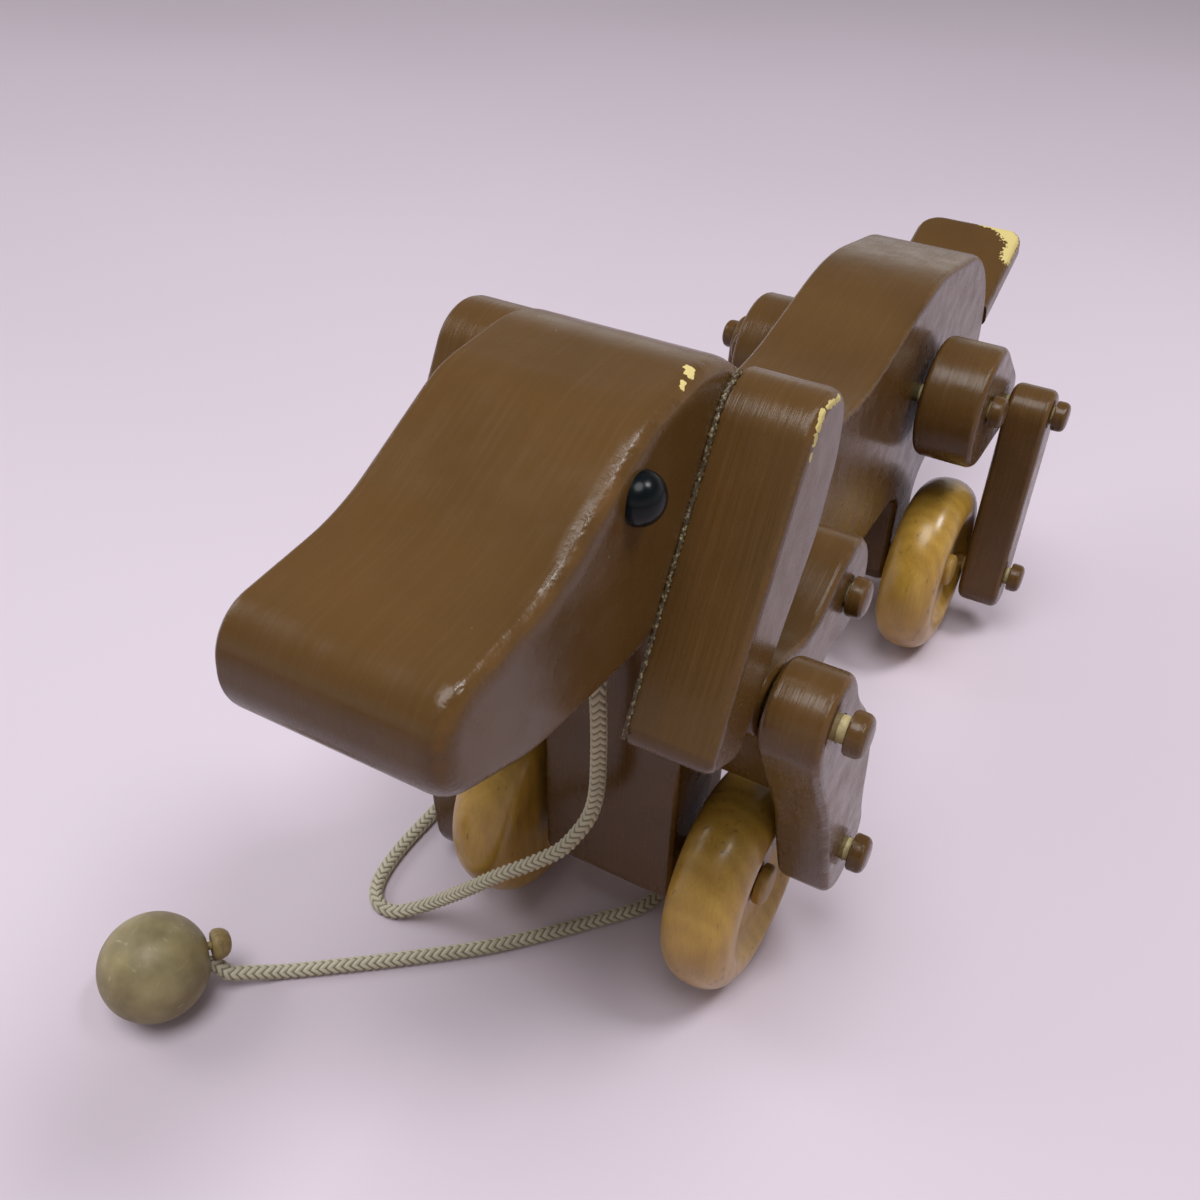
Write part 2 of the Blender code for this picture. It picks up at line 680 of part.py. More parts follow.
def make_leg_pegs(corner, paint):
    """Hip, knee and foot pegs of a leg, standing as far proud as each is driven in."""
    leg = leg_of(corner)
    sign = side_of(corner)
    hip, knee, foot = leg_pivots(corner)
    upper_face = UPPER_INNER_Y + leg.upper_thickness
    shin_face = leg.shin_inner_y + leg.shin_thickness
    hip_head = upper_face + leg.hip_proud
    knee_head = shin_face + leg.knee_proud
    foot_head = shin_face + leg.foot_proud
    rows = (
        ("hip_peg_", hip, hip_head, hip_head - BODY_WIDTH / 2 + BODY_PEG_DEPTH),
        ("knee_peg_", knee, knee_head, knee_head - upper_face + KNEE_PEG_DEPTH),
        ("foot_peg_", foot, foot_head, foot_head - WHEEL_FACE_Y - GAP),
    )
    for stem, pivot, head, depth in rows:
        place = world(pivot.x, sign * head, pivot.y)
        make_peg(stem + corner, LEG_PEG_SIZES, depth, paint, place, sign)


def smooth_route(points, step):
    """Read points at an even step from a Catmull-Rom curve through the given points."""
    padded = [2 * points[0] - points[1]] + points + [2 * points[-1] - points[-2]]
    dense = []
    for a, b, c, d in zip(padded, padded[1:], padded[2:], padded[3:]):
        for tick in range(CURVE_TICKS):
            t = tick / CURVE_TICKS
            square = (2 * a - 5 * b + 4 * c - d) * t**2
            cube = (3 * b - a - 3 * c + d) * t**3
            dense.append(0.5 * (2 * b + (c - a) * t + square + cube))
    dense.append(points[-1])
    lengths = [0.0]
    for start, end in zip(dense, dense[1:]):
        lengths.append(lengths[-1] + (end - start).length)
    count = round(lengths[-1] / step)
    route = []
    place = 0
    for index in range(count + 1):
        target = lengths[-1] * index / count
        while place < len(dense) - 2 and lengths[place + 1] < target:
            place += 1
        share = (target - lengths[place]) / (lengths[place + 1] - lengths[place])
        route.append(dense[place].lerp(dense[place + 1], share))
    return route


def make_cord(cord_fibre):
    """Braided pull cord from the chest to its end inside the ball."""
    route = smooth_route([Vector(point) for point in CORD_ROUTE], CORD_STEP)
    curve = bpy.data.curves.new("pull_cord", "CURVE")
    curve.dimensions = "3D"
    curve.bevel_depth = CORD_RADIUS
    curve.bevel_resolution = 2
    curve.use_fill_caps = True
    spline = curve.splines.new("POLY")
    spline.points.add(len(route) - 1)
    for point, place in zip(spline.points, route):
        point.co = (place.x, place.y, place.z, 1.0)
    curve.materials.append(cord_fibre)
    cord = bpy.data.objects.new("pull_cord", curve)
    cord.location = world(0, 0, 0)
    bpy.context.scene.collection.objects.link(cord)


def make_ball(ball_wood, plug_wood):
    """Ball on the cord's end, and the plug that wedges the cord in its bore."""
    sphere = []
    for row in range(1, BALL_ROWS):
        angle = math.pi * row / BALL_ROWS
        sphere.append((BALL_RADIUS * math.sin(angle), BALL_RADIUS * math.cos(angle)))
    sphere = [(0.0, BALL_RADIUS)] + sphere + [(0.0, -BALL_RADIUS)]
    place = world(*BALL_PLACE)
    ball = turned("pull_ball", sphere, WHEEL_FACETS, ball_wood, place, UP)
    bore(ball, [(place, BALL_BORE_WAY, BALL_BORE_RADIUS, BALL_BORE_FLOOR, BALL_RADIUS + OVERSHOOT)])
    seat, tip = PLUG_HEAD_REACH
    plug = [(0.0, tip)]
    plug += [(PLUG_HEAD_RADIUS * out, seat + (tip - seat) * tall) for out, tall in PLUG_HEAD_PROFILE]
    plug += rod(PLUG_SHAFT_RADIUS, PLUG_START, seat)[1:]
    bore_up = (Vector(UP) - BALL_BORE_WAY * BALL_BORE_WAY.z).normalized()
    turned("ball_plug", plug, PEG_FACETS, plug_wood, place + bore_up * PLUG_ABOVE_BORE_AXIS, BALL_BORE_WAY)


def main():
    """Build the dog, its walking legs, its wheels and its pull cord."""
    clear_scene()
    paint = finish("brown_enamel", (0.095, 0.045, 0.022), 0.35)
    varnish = finish("varnished_hardwood", (0.560, 0.300, 0.080), 0.30)
    wood = finish("bare_hardwood", (0.640, 0.450, 0.230), 0.55)
    ball_wood = finish("worn_hardwood", (0.330, 0.240, 0.120), 0.50)
    eye_gloss = finish("black_gloss", (0.008, 0.009, 0.012), 0.08)
    cord_fibre = finish("braided_cotton", (0.700, 0.630, 0.540), 0.90)
    make_body(paint)
    make_head(paint, wood)
    make_ears_and_eyes(paint, eye_gloss)
    make_tail(paint, wood)
    make_wheels(varnish)
    make_axle_pegs(wood)
    make_legs(paint)
    make_cord(cord_fibre)
    make_ball(ball_wood, wood)


main()
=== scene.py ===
"""Looks of the wooden dog pull toy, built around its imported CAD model.

Lengths are metres. +X is the way the dog faces, +Y is its left and +Z is up. Side outlines are drawn ahead of
the front axle and above the floor.
"""

import logging
import math
from dataclasses import dataclass, field
from enum import Enum

import bmesh
import bpy
import numpy as np
from mathutils import Matrix, Vector

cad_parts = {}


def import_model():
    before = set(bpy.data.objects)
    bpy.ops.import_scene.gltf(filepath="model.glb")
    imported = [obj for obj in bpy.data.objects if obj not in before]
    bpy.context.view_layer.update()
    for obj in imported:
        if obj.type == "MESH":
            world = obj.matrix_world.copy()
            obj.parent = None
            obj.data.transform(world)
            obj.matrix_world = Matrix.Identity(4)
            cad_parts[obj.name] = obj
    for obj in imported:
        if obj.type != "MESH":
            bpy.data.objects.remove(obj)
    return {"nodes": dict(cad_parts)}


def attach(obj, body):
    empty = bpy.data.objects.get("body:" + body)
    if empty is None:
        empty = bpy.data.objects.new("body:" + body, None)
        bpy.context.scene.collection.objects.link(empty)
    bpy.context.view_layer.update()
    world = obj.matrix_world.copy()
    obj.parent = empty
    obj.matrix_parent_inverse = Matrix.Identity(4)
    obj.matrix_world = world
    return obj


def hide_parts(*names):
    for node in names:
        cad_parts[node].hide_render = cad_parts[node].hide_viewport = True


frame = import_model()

log = logging.getLogger("dog_pull_toy")

FRONT_AXLE_X = 0.0855
GAP = 0.0003
MM = 0.001
ACROSS = Vector((0, 1, 0))
UP = Vector((0, 0, 1))
SHARP_ANGLE = math.radians(38)
MERGE_DISTANCE = 0.000002
ARC_STEP = math.radians(4)
FLANK_STEPS = 32
ROUND_OVER_STEPS = 7
PEG_FACETS = 48
WHEEL_FACETS = 128
RUMP_FACETS = 256
PLACE_ATTRIBUTE = "piece_place"
LEG_SANDING = (0.14, 0.10 * MM)
LEG_GRAIN_SHIFT = 0.09
PEG_GRAIN_SHIFT = 0.05

Node = bpy.types.Node
Socket = bpy.types.NodeSocket
Piece = bpy.types.Object
Material = bpy.types.Material


class Side(Enum):
    """Sides of the dog, by the sign of Y."""

    LEFT = 1
    RIGHT = -1


class Pair(Enum):
    """Front and rear pairs of wheels and legs."""

    FRONT = "front"
    REAR = "rear"


class Stroke(Enum):
    """Ways in which the brush went over a side face, as stretches of its marks along X, Y and Z."""

    ALONG_X = (0.06, 1.0, 1.0)
    ALONG_Z = (1.0, 1.0, 0.06)


def corner_name(pair: Pair, side: Side) -> str:
    """Name of a corner of the dog, such as front_left."""
    return f"{pair.value}_{side.name.lower()}"


def world(x: float, y: float, z: float) -> Vector:
    """Place a point that is measured ahead of the front axle."""
    return Vector((FRONT_AXLE_X + x, y, z))


def linear(colour: str) -> tuple[float, float, float, float]:
    """Turn an sRGB hex colour into linear RGBA.

    Args:
        colour: Six hex digits after a hash sign.

    Returns:
        Linear red, green and blue, and an alpha of 1.
    """
    shares = [int(colour[start : start + 2], 16) / 255 for start in (1, 3, 5)]
    values = [s / 12.92 if s <= 0.04045 else ((s + 0.055) / 1.055) ** 2.4 for s in shares]
    return (values[0], values[1], values[2], 1.0)


def add_node(tree: bpy.types.NodeTree, kind: str, inputs: dict | None = None, **settings) -> Node:
    """Add a node with its settings, values and links.

    Args:
        tree: Node tree that gets the node.
        kind: Node type without the ShaderNode prefix.
        inputs: Value or output socket for each input, by name or index.
        **settings: Properties of the node.

    Returns:
        The new node.
    """
    made = tree.nodes.new("ShaderNode" + kind)
    for name, value in settings.items():
        setattr(made, name, value)
    for key, value in (inputs or {}).items():
        if isinstance(value, Socket):
            tree.links.new(value, made.inputs[key])
        else:
            made.inputs[key].default_value = value
    return made


def maths(tree: bpy.types.NodeTree, operation: str, *values: float | Socket) -> Node:
    """Add a Math node that works on the values in turn."""
    return add_node(tree, "Math", dict(enumerate(values)), operation=operation)


def blend(
    tree: bpy.types.NodeTree, share: float | Socket, start: tuple | Socket, end: tuple | Socket
) -> Node:
    """Add a Mix node that goes from one colour to another."""
    return add_node(tree, "Mix", {0: share, 6: start, 7: end}, data_type="RGBA")


def fresh_material(name: str) -> tuple[Material, bpy.types.NodeTree, Node]:
    """Make a node material with a bare Principled shader.

    Args:
        name: Name of the finish.

    Returns:
        The material, its node tree and its shader.
    """
    material = bpy.data.materials.new(name)
    material.use_nodes = True
    return material, material.node_tree, material.node_tree.nodes["Principled BSDF"]


def deselect_all() -> None:
    """Leave edit mode and deselect every object."""
    if bpy.context.object and bpy.context.object.mode != "OBJECT":
        bpy.ops.object.mode_set(mode="OBJECT")
    bpy.ops.object.select_all(action="DESELECT")


def make_active(piece: Piece) -> None:
    """Select one piece alone and make it active."""
    deselect_all()
    piece.select_set(True)
    bpy.context.view_layer.objects.active = piece


def name_piece(name: str) -> Piece:
    """Name the active object and its mesh."""
    piece = bpy.context.object
    piece.name = name
    piece.data.name = name
    return piece


def draw_line(name: str, points: list[Vector], closed: bool = False) -> Piece:
    """Draw a line by extruding a single point from place to place, and stay in edit mode.

    Args:
        name: Name of the new object.
        points: Places that the line runs through.
        closed: Whether the line returns to its start.

    Returns:
        The object that holds the line.
    """
    deselect_all()
    bpy.ops.mesh.primitive_plane_add(size=MM, location=(0, 0, 0))
    piece = name_piece(name)
    bpy.ops.object.mode_set(mode="EDIT")
    bpy.ops.mesh.select_mode(type="VERT")
    bpy.ops.mesh.select_all(action="SELECT")
    bpy.ops.mesh.merge(type="CENTER")
    bpy.ops.transform.translate(value=points[0])
    stops = points + points[:1] if closed else points
    for start, end in zip(stops, stops[1:]):
        bpy.ops.mesh.extrude_region_move(TRANSFORM_OT_translate={"value": end - start})
    if closed:
        bpy.ops.mesh.select_all(action="SELECT")
        bpy.ops.mesh.remove_doubles(threshold=MERGE_DISTANCE)
    return piece


def face_out(piece: Piece) -> None:
    """Merge doubles of a piece that is being edited and make its faces point out."""
    bpy.ops.mesh.select_all(action="SELECT")
    bpy.ops.mesh.remove_doubles(threshold=MERGE_DISTANCE)
    bpy.ops.mesh.normals_make_consistent(inside=False)
    if bmesh.from_edit_mesh(piece.data).calc_volume(signed=True) < 0:
        bpy.ops.mesh.flip_normals()


def select_edges(piece: Piece, wanted) -> None:
    """Select the edges of a piece in edit mode that a test picks.

    Args:
        piece: Piece in edit mode.
        wanted: Test that takes an edge.
    """
    bpy.ops.mesh.select_all(action="DESELECT")
    bpy.ops.mesh.select_mode(type="EDGE")
    shape = bmesh.from_edit_mesh(piece.data)
    for edge in shape.edges:
        edge.select_set(wanted(edge))
    shape.select_flush_mode()
    bmesh.update_edit_mesh(piece.data)


def apply_modifier(piece: Piece, kind: str, **settings) -> None:
    """Add a modifier with its settings and apply it."""
    make_active(piece)
    modifier = piece.modifiers.new(kind.lower(), kind)
    for name, value in settings.items():
        setattr(modifier, name, value)
    bpy.ops.object.modifier_apply(modifier=modifier.name)


def smooth(piece: Piece) -> None:
    """Shade a piece smooth between its sharp edges, with normals that keep its flat faces flat."""
    make_active(piece)
    bpy.ops.object.shade_smooth_by_angle(angle=SHARP_ANGLE)
    apply_modifier(piece, "WEIGHTED_NORMAL", keep_sharp=True)


def drill(
    piece: Piece,
    place: Vector,
    way: Vector,
    radius: float,
    start: float,
    end: float,
    facets: int = PEG_FACETS,
) -> None:
    """Cut a round hole out of a piece.

    Args:
        piece: Piece that gets the hole.
        place: Point on the hole's axis.
        way: Direction of the axis.
        radius: Radius of the hole.
        start: Where the hole starts along its axis.
        end: Where it ends.
        facets: Number of steps round the hole.
    """
    deselect_all()
    turn = UP.rotation_difference(way).to_euler()
    middle = place + way.normalized() * (start + end) / 2
    bpy.ops.mesh.primitive_cylinder_add(
        vertices=facets, radius=radius, depth=end - start, location=middle, rotation=turn
    )
    cutter = name_piece(piece.name + "_drill")
    apply_modifier(piece, "BOOLEAN", operation="DIFFERENCE", solver="EXACT", object=cutter)
    bpy.data.objects.remove(cutter, do_unlink=True)


def plate(name: str, outline: list[tuple[float, float]], low_y: float, high_y: float, rounds: tuple) -> Piece:
    """Saw a plate from a side outline and round over its rims.

    Args:
        name: Name of the piece.
        outline: Points (x, z) of the side outline.
        low_y: Where the plate starts across the dog.
        high_y: Where it ends.
        rounds: Round-over at the low and at the high rim.

    Returns:
        The plate, in object mode.
    """
    piece = draw_line(name, [Vector((x, low_y, z)) for x, z in outline], closed=True)
    bpy.ops.mesh.edge_face_add()
    bpy.ops.mesh.extrude_region_move(TRANSFORM_OT_translate={"value": (0, high_y - low_y, 0)})
    face_out(piece)
    middle = (low_y + high_y) / 2
    for sign, size in zip((-1, 1), rounds):
        select_edges(piece, lambda edge: all((vert.co.y - middle) * sign > 0 for vert in edge.verts))
        bpy.ops.mesh.bevel(offset=size, segments=ROUND_OVER_STEPS, profile=0.5, affect="EDGES")
    face_out(piece)
    bpy.ops.object.mode_set(mode="OBJECT")
    return piece


def turned(name: str, profile: list[tuple[float, float]], facets: int, ring: bool = False) -> Piece:
    """Turn a profile about the Y axis.

    Args:
        name: Name of the piece.
        profile: Points (radius, height along Y).
        facets: Number of steps round the axis.
        ring: Whether the profile closes on itself, as round a bore.

    Returns:
        The turned piece, in object mode.
    """
    piece = draw_line(name, [Vector((radius, height, 0)) for radius, height in profile], closed=ring)
    bpy.ops.mesh.select_all(action="SELECT")
    bpy.ops.mesh.spin(steps=facets, angle=2 * math.pi, center=(0, 0, 0), axis=ACROSS)
    face_out(piece)
    bpy.ops.object.mode_set(mode="OBJECT")
    return piece


def keep_place(piece: Piece, shift: float = 0.0) -> None:
    """Keep each point's place on the unplaced piece as an attribute that the grain follows.

    Args:
        piece: Piece before it is put in its place.
        shift: Step along every axis, which gives each copy its own grain.
    """
    mesh = piece.data
    places = np.empty(len(mesh.vertices) * 3, np.float32)
    mesh.vertices.foreach_get("co", places)
    layer = mesh.attributes.get(PLACE_ATTRIBUTE)
    layer = layer or mesh.attributes.new(PLACE_ATTRIBUTE, "FLOAT_VECTOR", "POINT")
    layer.data.foreach_set("vector", places + np.float32(shift))


def copy_piece(piece: Piece, name: str) -> Piece:
    """Copy a piece with a mesh of its own.

    Args:
        piece: Piece to copy.
        name: Name of the copy.

    Returns:
        The copy.
    """
    make_active(piece)
    bpy.ops.object.duplicate(linked=False)
    return name_piece(name)


def put(piece: Piece, matrix: Matrix) -> None:
    """Move a piece's mesh to its place, turning it right side out where it is mirrored."""
    piece.data.transform(matrix)
    if matrix.determinant() < 0:
        make_active(piece)
        bpy.ops.object.mode_set(mode="EDIT")
        bpy.ops.mesh.select_all(action="SELECT")
        bpy.ops.mesh.flip_normals()
        bpy.ops.object.mode_set(mode="OBJECT")


def settle(piece: Piece, body: str, slot: str | None, *nodes: str) -> None:
    """Let a piece ride on its body and stand for its CAD nodes."""
    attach(piece, body)
    if nodes:
        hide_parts(*nodes)
    log.info("%s rides on %s, %d faces", piece.name, body, len(piece.data.polygons))


def sweep(name: str, line: np.ndarray, radius: np.ndarray) -> Piece:
    """Sweep a closed tube along a line that starts at a right angle to Y.

    Args:
        name: Name of the piece.
        line: Places along the middle of the tube, one in each row.
        radius: Radius at each place, in as many steps round the tube as there are columns.

    Returns:
        The tube.
    """
    tangents = np.gradient(line, axis=0)
    tangents /= np.linalg.norm(tangents, axis=1)[:, None]
    side = np.zeros_like(line)
    side[0] = ACROSS
    for index in range(1, len(line)):
        carried = side[index - 1] - tangents[index] * side[index - 1].dot(tangents[index])
        side[index] = carried / np.linalg.norm(carried)
    other = np.cross(tangents, side)
    places, steps = radius.shape
    angle = 2 * math.pi * np.arange(steps) / steps
    spokes = side[:, None] * np.cos(angle)[:, None] + other[:, None] * np.sin(angle)[:, None]
    verts = (line[:, None] + spokes * radius[:, :, None]).reshape(-1, 3)
    index = np.arange(places * steps).reshape(places, steps)
    after = np.roll(index, -1, axis=1)
    quads = np.stack([index[:-1], after[:-1], after[1:], index[1:]], axis=-1).reshape(-1, 4)
    caps = [index[0][::-1].tolist(), index[-1].tolist()]
    mesh = bpy.data.meshes.new(name)
    mesh.from_pydata(verts.tolist(), [], quads.tolist() + caps)
    mesh.update()
    mesh.shade_smooth()
    tube = bpy.data.objects.new(name, mesh)
    bpy.context.scene.collection.objects.link(tube)
    return tube


def rounded(corners: list[tuple[float, float, float]]) -> list[tuple[float, float]]:
    """Round the corners of a closed outline.

    Args:
        corners: Corners (x, z, radius).

    Returns:
        Points (x, z), with an arc at each corner.
    """
    points = []
    for index, (x, z, radius) in enumerate(corners):
        here = Vector((x, z))
        before = (Vector(corners[index - 1][:2]) - here).normalized()
        after = (Vector(corners[(index + 1) % len(corners)][:2]) - here).normalized()
        if radius == 0:
            points.append((x, z))
            continue
        turn = math.pi - before.angle(after)
        start = here + before * radius * math.tan(turn / 2)
        middle = here + (before + after).normalized() * radius / math.cos(turn / 2)
        sense = math.copysign(1.0, before.cross(after))
        count = max(1, math.ceil(turn / ARC_STEP))
        for step in range(count + 1):
            point = middle + Matrix.Rotation(-sense * turn * step / count, 2) @ (start - middle)
            points.append((point.x, point.y))
    return points


def arc(middle: float, radius: float, start: float, end: float) -> list[Vector]:
    """Points of an arc about a middle on the first axis, from one angle to another."""
    count = max(1, math.ceil(abs(end - start) / ARC_STEP))
    angles = [start + (end - start) * step / count for step in range(count + 1)]
    return [Vector((middle + radius * math.cos(angle), radius * math.sin(angle))) for angle in angles]


def flank(start: Vector, end: Vector, swell: float, lead: float = 1.0) -> list[Vector]:
    """Points between two ends of a flank, pushed sideways by a swell.

    Args:
        start: Start of the flank.
        end: End of the flank.
        swell: How far the flank is pushed.
        lead: Power that moves the swell towards the start where it is below 1.

    Returns:
        The points between the ends.
    """
    points = []
    for step in range(1, FLANK_STEPS):
        share = step / FLANK_STEPS
        push = swell * math.sin(math.pi * share**lead) ** 2
        points.append(start.lerp(end, share) + Vector((0.0, push)))
    return points


def smooth_route(points: list[Vector], step: float) -> list[Vector]:
    """Read places at an even step from a smooth curve through points.

    Args:
        points: Points that the curve passes through.
        step: Distance between the places.

    Returns:
        The places, from the first point to the last.
    """
    ticks = 48
    padded = [2 * points[0] - points[1]] + points + [2 * points[-1] - points[-2]]
    dense = []
    for a, b, c, d in zip(padded, padded[1:], padded[2:], padded[3:]):
        for tick in range(ticks):
            t = tick / ticks
            square = (2 * a - 5 * b + 4 * c - d) * t**2
            cube = (3 * b - a - 3 * c + d) * t**3
            dense.append(0.5 * (2 * b + (c - a) * t + square + cube))
    dense.append(points[-1])
    line = np.array([tuple(point) for point in dense])
    lengths = np.concatenate([[0.0], np.cumsum(np.linalg.norm(np.diff(line, axis=0), axis=1))])
    stops = np.linspace(0.0, lengths[-1], round(lengths[-1] / step) + 1)
    return [Vector([np.interp(stop, lengths, line[:, axis]) for axis in range(3)]) for stop in stops]


@dataclass(frozen=True)
class BrownEnamel:
    """Brown enamel brushed on sanded hardwood.

    The eye sees a satin brown, fine sanding lines that run round the rims, faint brush marks on the sides,
    thin ochre paint on the rounded edges, dust nibs and small chips of bare yellow wood.
    """

    name: str
    stroke: Stroke
    sanding: float = 0.10
    sanding_depth: float = 0.02 * MM
    chips: tuple = ()
    paint: str = "#5E4220"
    thin_paint: str = "#86591E"
    sanded_paint: str = "#7A5A36"
    wood: str = "#DECB86"
    dust: str = "#AC9E8A"

    def make(self) -> Material:
        """Make the material.

        Returns:
            The new material.
        """
        material, tree, shader = fresh_material(self.name)
        place = add_node(tree, "TexCoord").outputs
        own = add_node(tree, "Attribute", attribute_name=PLACE_ATTRIBUTE).outputs["Vector"]
        cloud = add_node(
            tree, "TexNoise", {"Vector": place["Object"], "Scale": 1 / (32 * MM), "Detail": 3.0}
        )
        patch = add_node(
            tree, "TexNoise", {"Vector": place["Object"], "Scale": 1 / (7 * MM), "Detail": 4.0}
        )
        # The belt runs round the rim, so its lines keep their place across the piece.
        # They leave the sides smooth.
        round_rim = add_node(tree, "VectorMath", {0: own, 1: (0.04, 1.0, 0.04)}, operation="MULTIPLY")
        lines = add_node(
            tree,
            "TexNoise",
            {"Vector": round_rim.outputs[0], "Scale": 1 / (1.1 * MM), "Detail": 4.0, "Roughness": 0.65},
        )
        on_side = add_node(tree, "VectorMath", {0: own, 1: self.stroke.value}, operation="MULTIPLY")
        brush = add_node(
            tree, "TexNoise", {"Vector": on_side.outputs[0], "Scale": 1 / (1.6 * MM), "Detail": 3.0}
        )
        # Rounded edges face half across the dog, where the sanding block and hands leave the paint thin.
        facing = add_node(tree, "SeparateXYZ", {0: place["Normal"]})
        squared = maths(tree, "MULTIPLY", facing.outputs["Y"], facing.outputs["Y"])
        left = maths(tree, "SUBTRACT", 1.0, squared.outputs[0])
        rim = maths(tree, "MULTIPLY", squared.outputs[0], left.outputs[0])
        rubbed = maths(tree, "MULTIPLY", rim.outputs[0], patch.outputs["Fac"])
        # Drips and sanding marks at the rounded edges break up the glints there.
        ripple = add_node(
            tree,
            "TexNoise",
            {"Vector": place["Object"], "Scale": 1 / (9 * MM), "Detail": 4.0, "Roughness": 0.6},
        )
        at_rim = add_node(
            tree, "MapRange", {"Value": rim.outputs[0], "From Max": 0.2, "To Min": 0.10, "To Max": 1.0}
        )
        rippled = maths(tree, "MULTIPLY", ripple.outputs["Fac"], at_rim.outputs[0])
        thin = add_node(
            tree,
            "MapRange",
            {"Value": rubbed.outputs[0], "From Min": 0.09, "From Max": 0.17, "To Max": 0.25},
        )
        painted = blend(tree, thin.outputs[0], linear(self.paint), linear(self.thin_paint))
        scuffed = add_node(
            tree,
            "MapRange",
            {"Value": lines.outputs["Fac"], "From Min": 0.48, "From Max": 0.72, "To Max": self.sanding},
        )
        sanded = blend(tree, scuffed.outputs[0], painted.outputs[2], linear(self.sanded_paint))
        brushed = maths(tree, "MULTIPLY_ADD", brush.outputs["Fac"], 0.12, cloud.outputs["Fac"])
        tone = add_node(
            tree,
            "MapRange",
            {"Value": brushed.outputs[0], "From Min": 0.32, "From Max": 0.80, "To Min": 0.86, "To Max": 1.12},
        )
        shaded = add_node(
            tree, "VectorMath", {0: sanded.outputs[2], "Scale": tone.outputs[0]}, operation="SCALE"
        )
        nib = add_node(tree, "TexVoronoi", {"Vector": place["Object"], "Scale": 1 / (5 * MM)}, feature="F1")
        pick = add_node(tree, "SeparateXYZ", {0: nib.outputs["Color"]})
        size = add_node(
            tree,
            "MapRange",
            {"Value": pick.outputs["X"], "From Min": 0.70, "From Max": 1.0, "To Max": 0.05},
        )
        speck = maths(tree, "LESS_THAN", nib.outputs["Distance"], size.outputs[0])
        dusted = maths(tree, "MULTIPLY", speck.outputs[0], 0.6)
        colour = blend(tree, dusted.outputs[0], shaded.outputs[0], linear(self.dust)).outputs[2]
        worn = maths(tree, "MULTIPLY_ADD", lines.outputs["Fac"], 0.6, patch.outputs["Fac"])
        satin = add_node(
            tree,
            "MapRange",
            {"Value": worn.outputs[0], "From Min": 0.55, "From Max": 1.05, "To Min": 0.17, "To Max": 0.34},
        )
        roughness = maths(tree, "MULTIPLY_ADD", thin.outputs[0], 0.5, satin.outputs[0]).outputs[0]
        relief = None
        for height, strength, depth in (
            (lines.outputs["Fac"], 1.0, self.sanding_depth),
            (brush.outputs["Fac"], 0.06, 0.03 * MM),
            (patch.outputs["Fac"], 0.55, 0.24 * MM),
            (rippled.outputs[0], 1.0, 0.80 * MM),
            (speck.outputs[0], 0.40, 0.04 * MM),
        ):
            below = {"Normal": relief} if relief else {}
            heights = {"Height": height, "Strength": strength, "Distance": depth}
            relief = add_node(tree, "Bump", {**heights, **below}).outputs[0]
        if self.chips:
            bare = self.chip_mask(tree, place["Object"])
            chipped = blend(tree, bare, colour, linear(self.wood))
            colour = chipped.outputs[2]
            roughness = add_node(tree, "Mix", {0: bare, 2: roughness, 3: 0.6}).outputs[0]
            sunk = {"Height": bare, "Strength": 0.8, "Distance": 0.12 * MM, "Normal": relief}
            relief = add_node(tree, "Bump", sunk, invert=True).outputs[0]
        tree.links.new(colour, shader.inputs["Base Color"])
        tree.links.new(roughness, shader.inputs["Roughness"])
        tree.links.new(relief, shader.inputs["Normal"])
        shader.inputs["IOR"].default_value = 1.5
        shader.inputs["Specular IOR Level"].default_value = 0.31
        shader.inputs["Coat Weight"].default_value = 0.07
        shader.inputs["Coat Roughness"].default_value = 0.12
        return material

    def chip_mask(self, tree: bpy.types.NodeTree, place: Socket) -> Socket:
        """Mask the chips, whose ragged rims come from a noise on the distance to each chip's middle line.

        Args:
            tree: Node tree of the material.
            place: Object coordinates.

        Returns:
            Output that is 1 on bare wood.
        """
        ragged = add_node(tree, "TexNoise", {"Vector": place, "Scale": 1 / (1.0 * MM), "Detail": 3.0})
        bare = None
        for start, end, radius in self.chips:
            line = Vector(end) - Vector(start)
            shift = add_node(tree, "VectorMath", {0: place, 1: start}, operation="SUBTRACT")
            along = add_node(tree, "VectorMath", {0: shift.outputs[0], 1: line}, operation="DOT_PRODUCT")
            share = add_node(
                tree, "MapRange", {"Value": along.outputs["Value"], "From Max": line.length_squared}
            )
            nearest = add_node(tree, "VectorMath", {0: line, "Scale": share.outputs[0]}, operation="SCALE")
            away = add_node(
                tree, "VectorMath", {0: shift.outputs[0], 1: nearest.outputs[0]}, operation="DISTANCE"
            )
            reach = add_node(
                tree,
                "MapRange",
                {
                    "Value": ragged.outputs["Fac"],
                    "From Min": 0.35,
                    "From Max": 0.65,
                    "To Min": 0.5 * radius,
                    "To Max": 1.1 * radius,
                },
            )
            chip = maths(tree, "LESS_THAN", away.outputs["Value"], reach.outputs[0])
            if bare is None:
                bare = chip
            else:
                bare = maths(tree, "MAXIMUM", bare.outputs[0], chip.outputs[0])
        return bare.outputs[0]


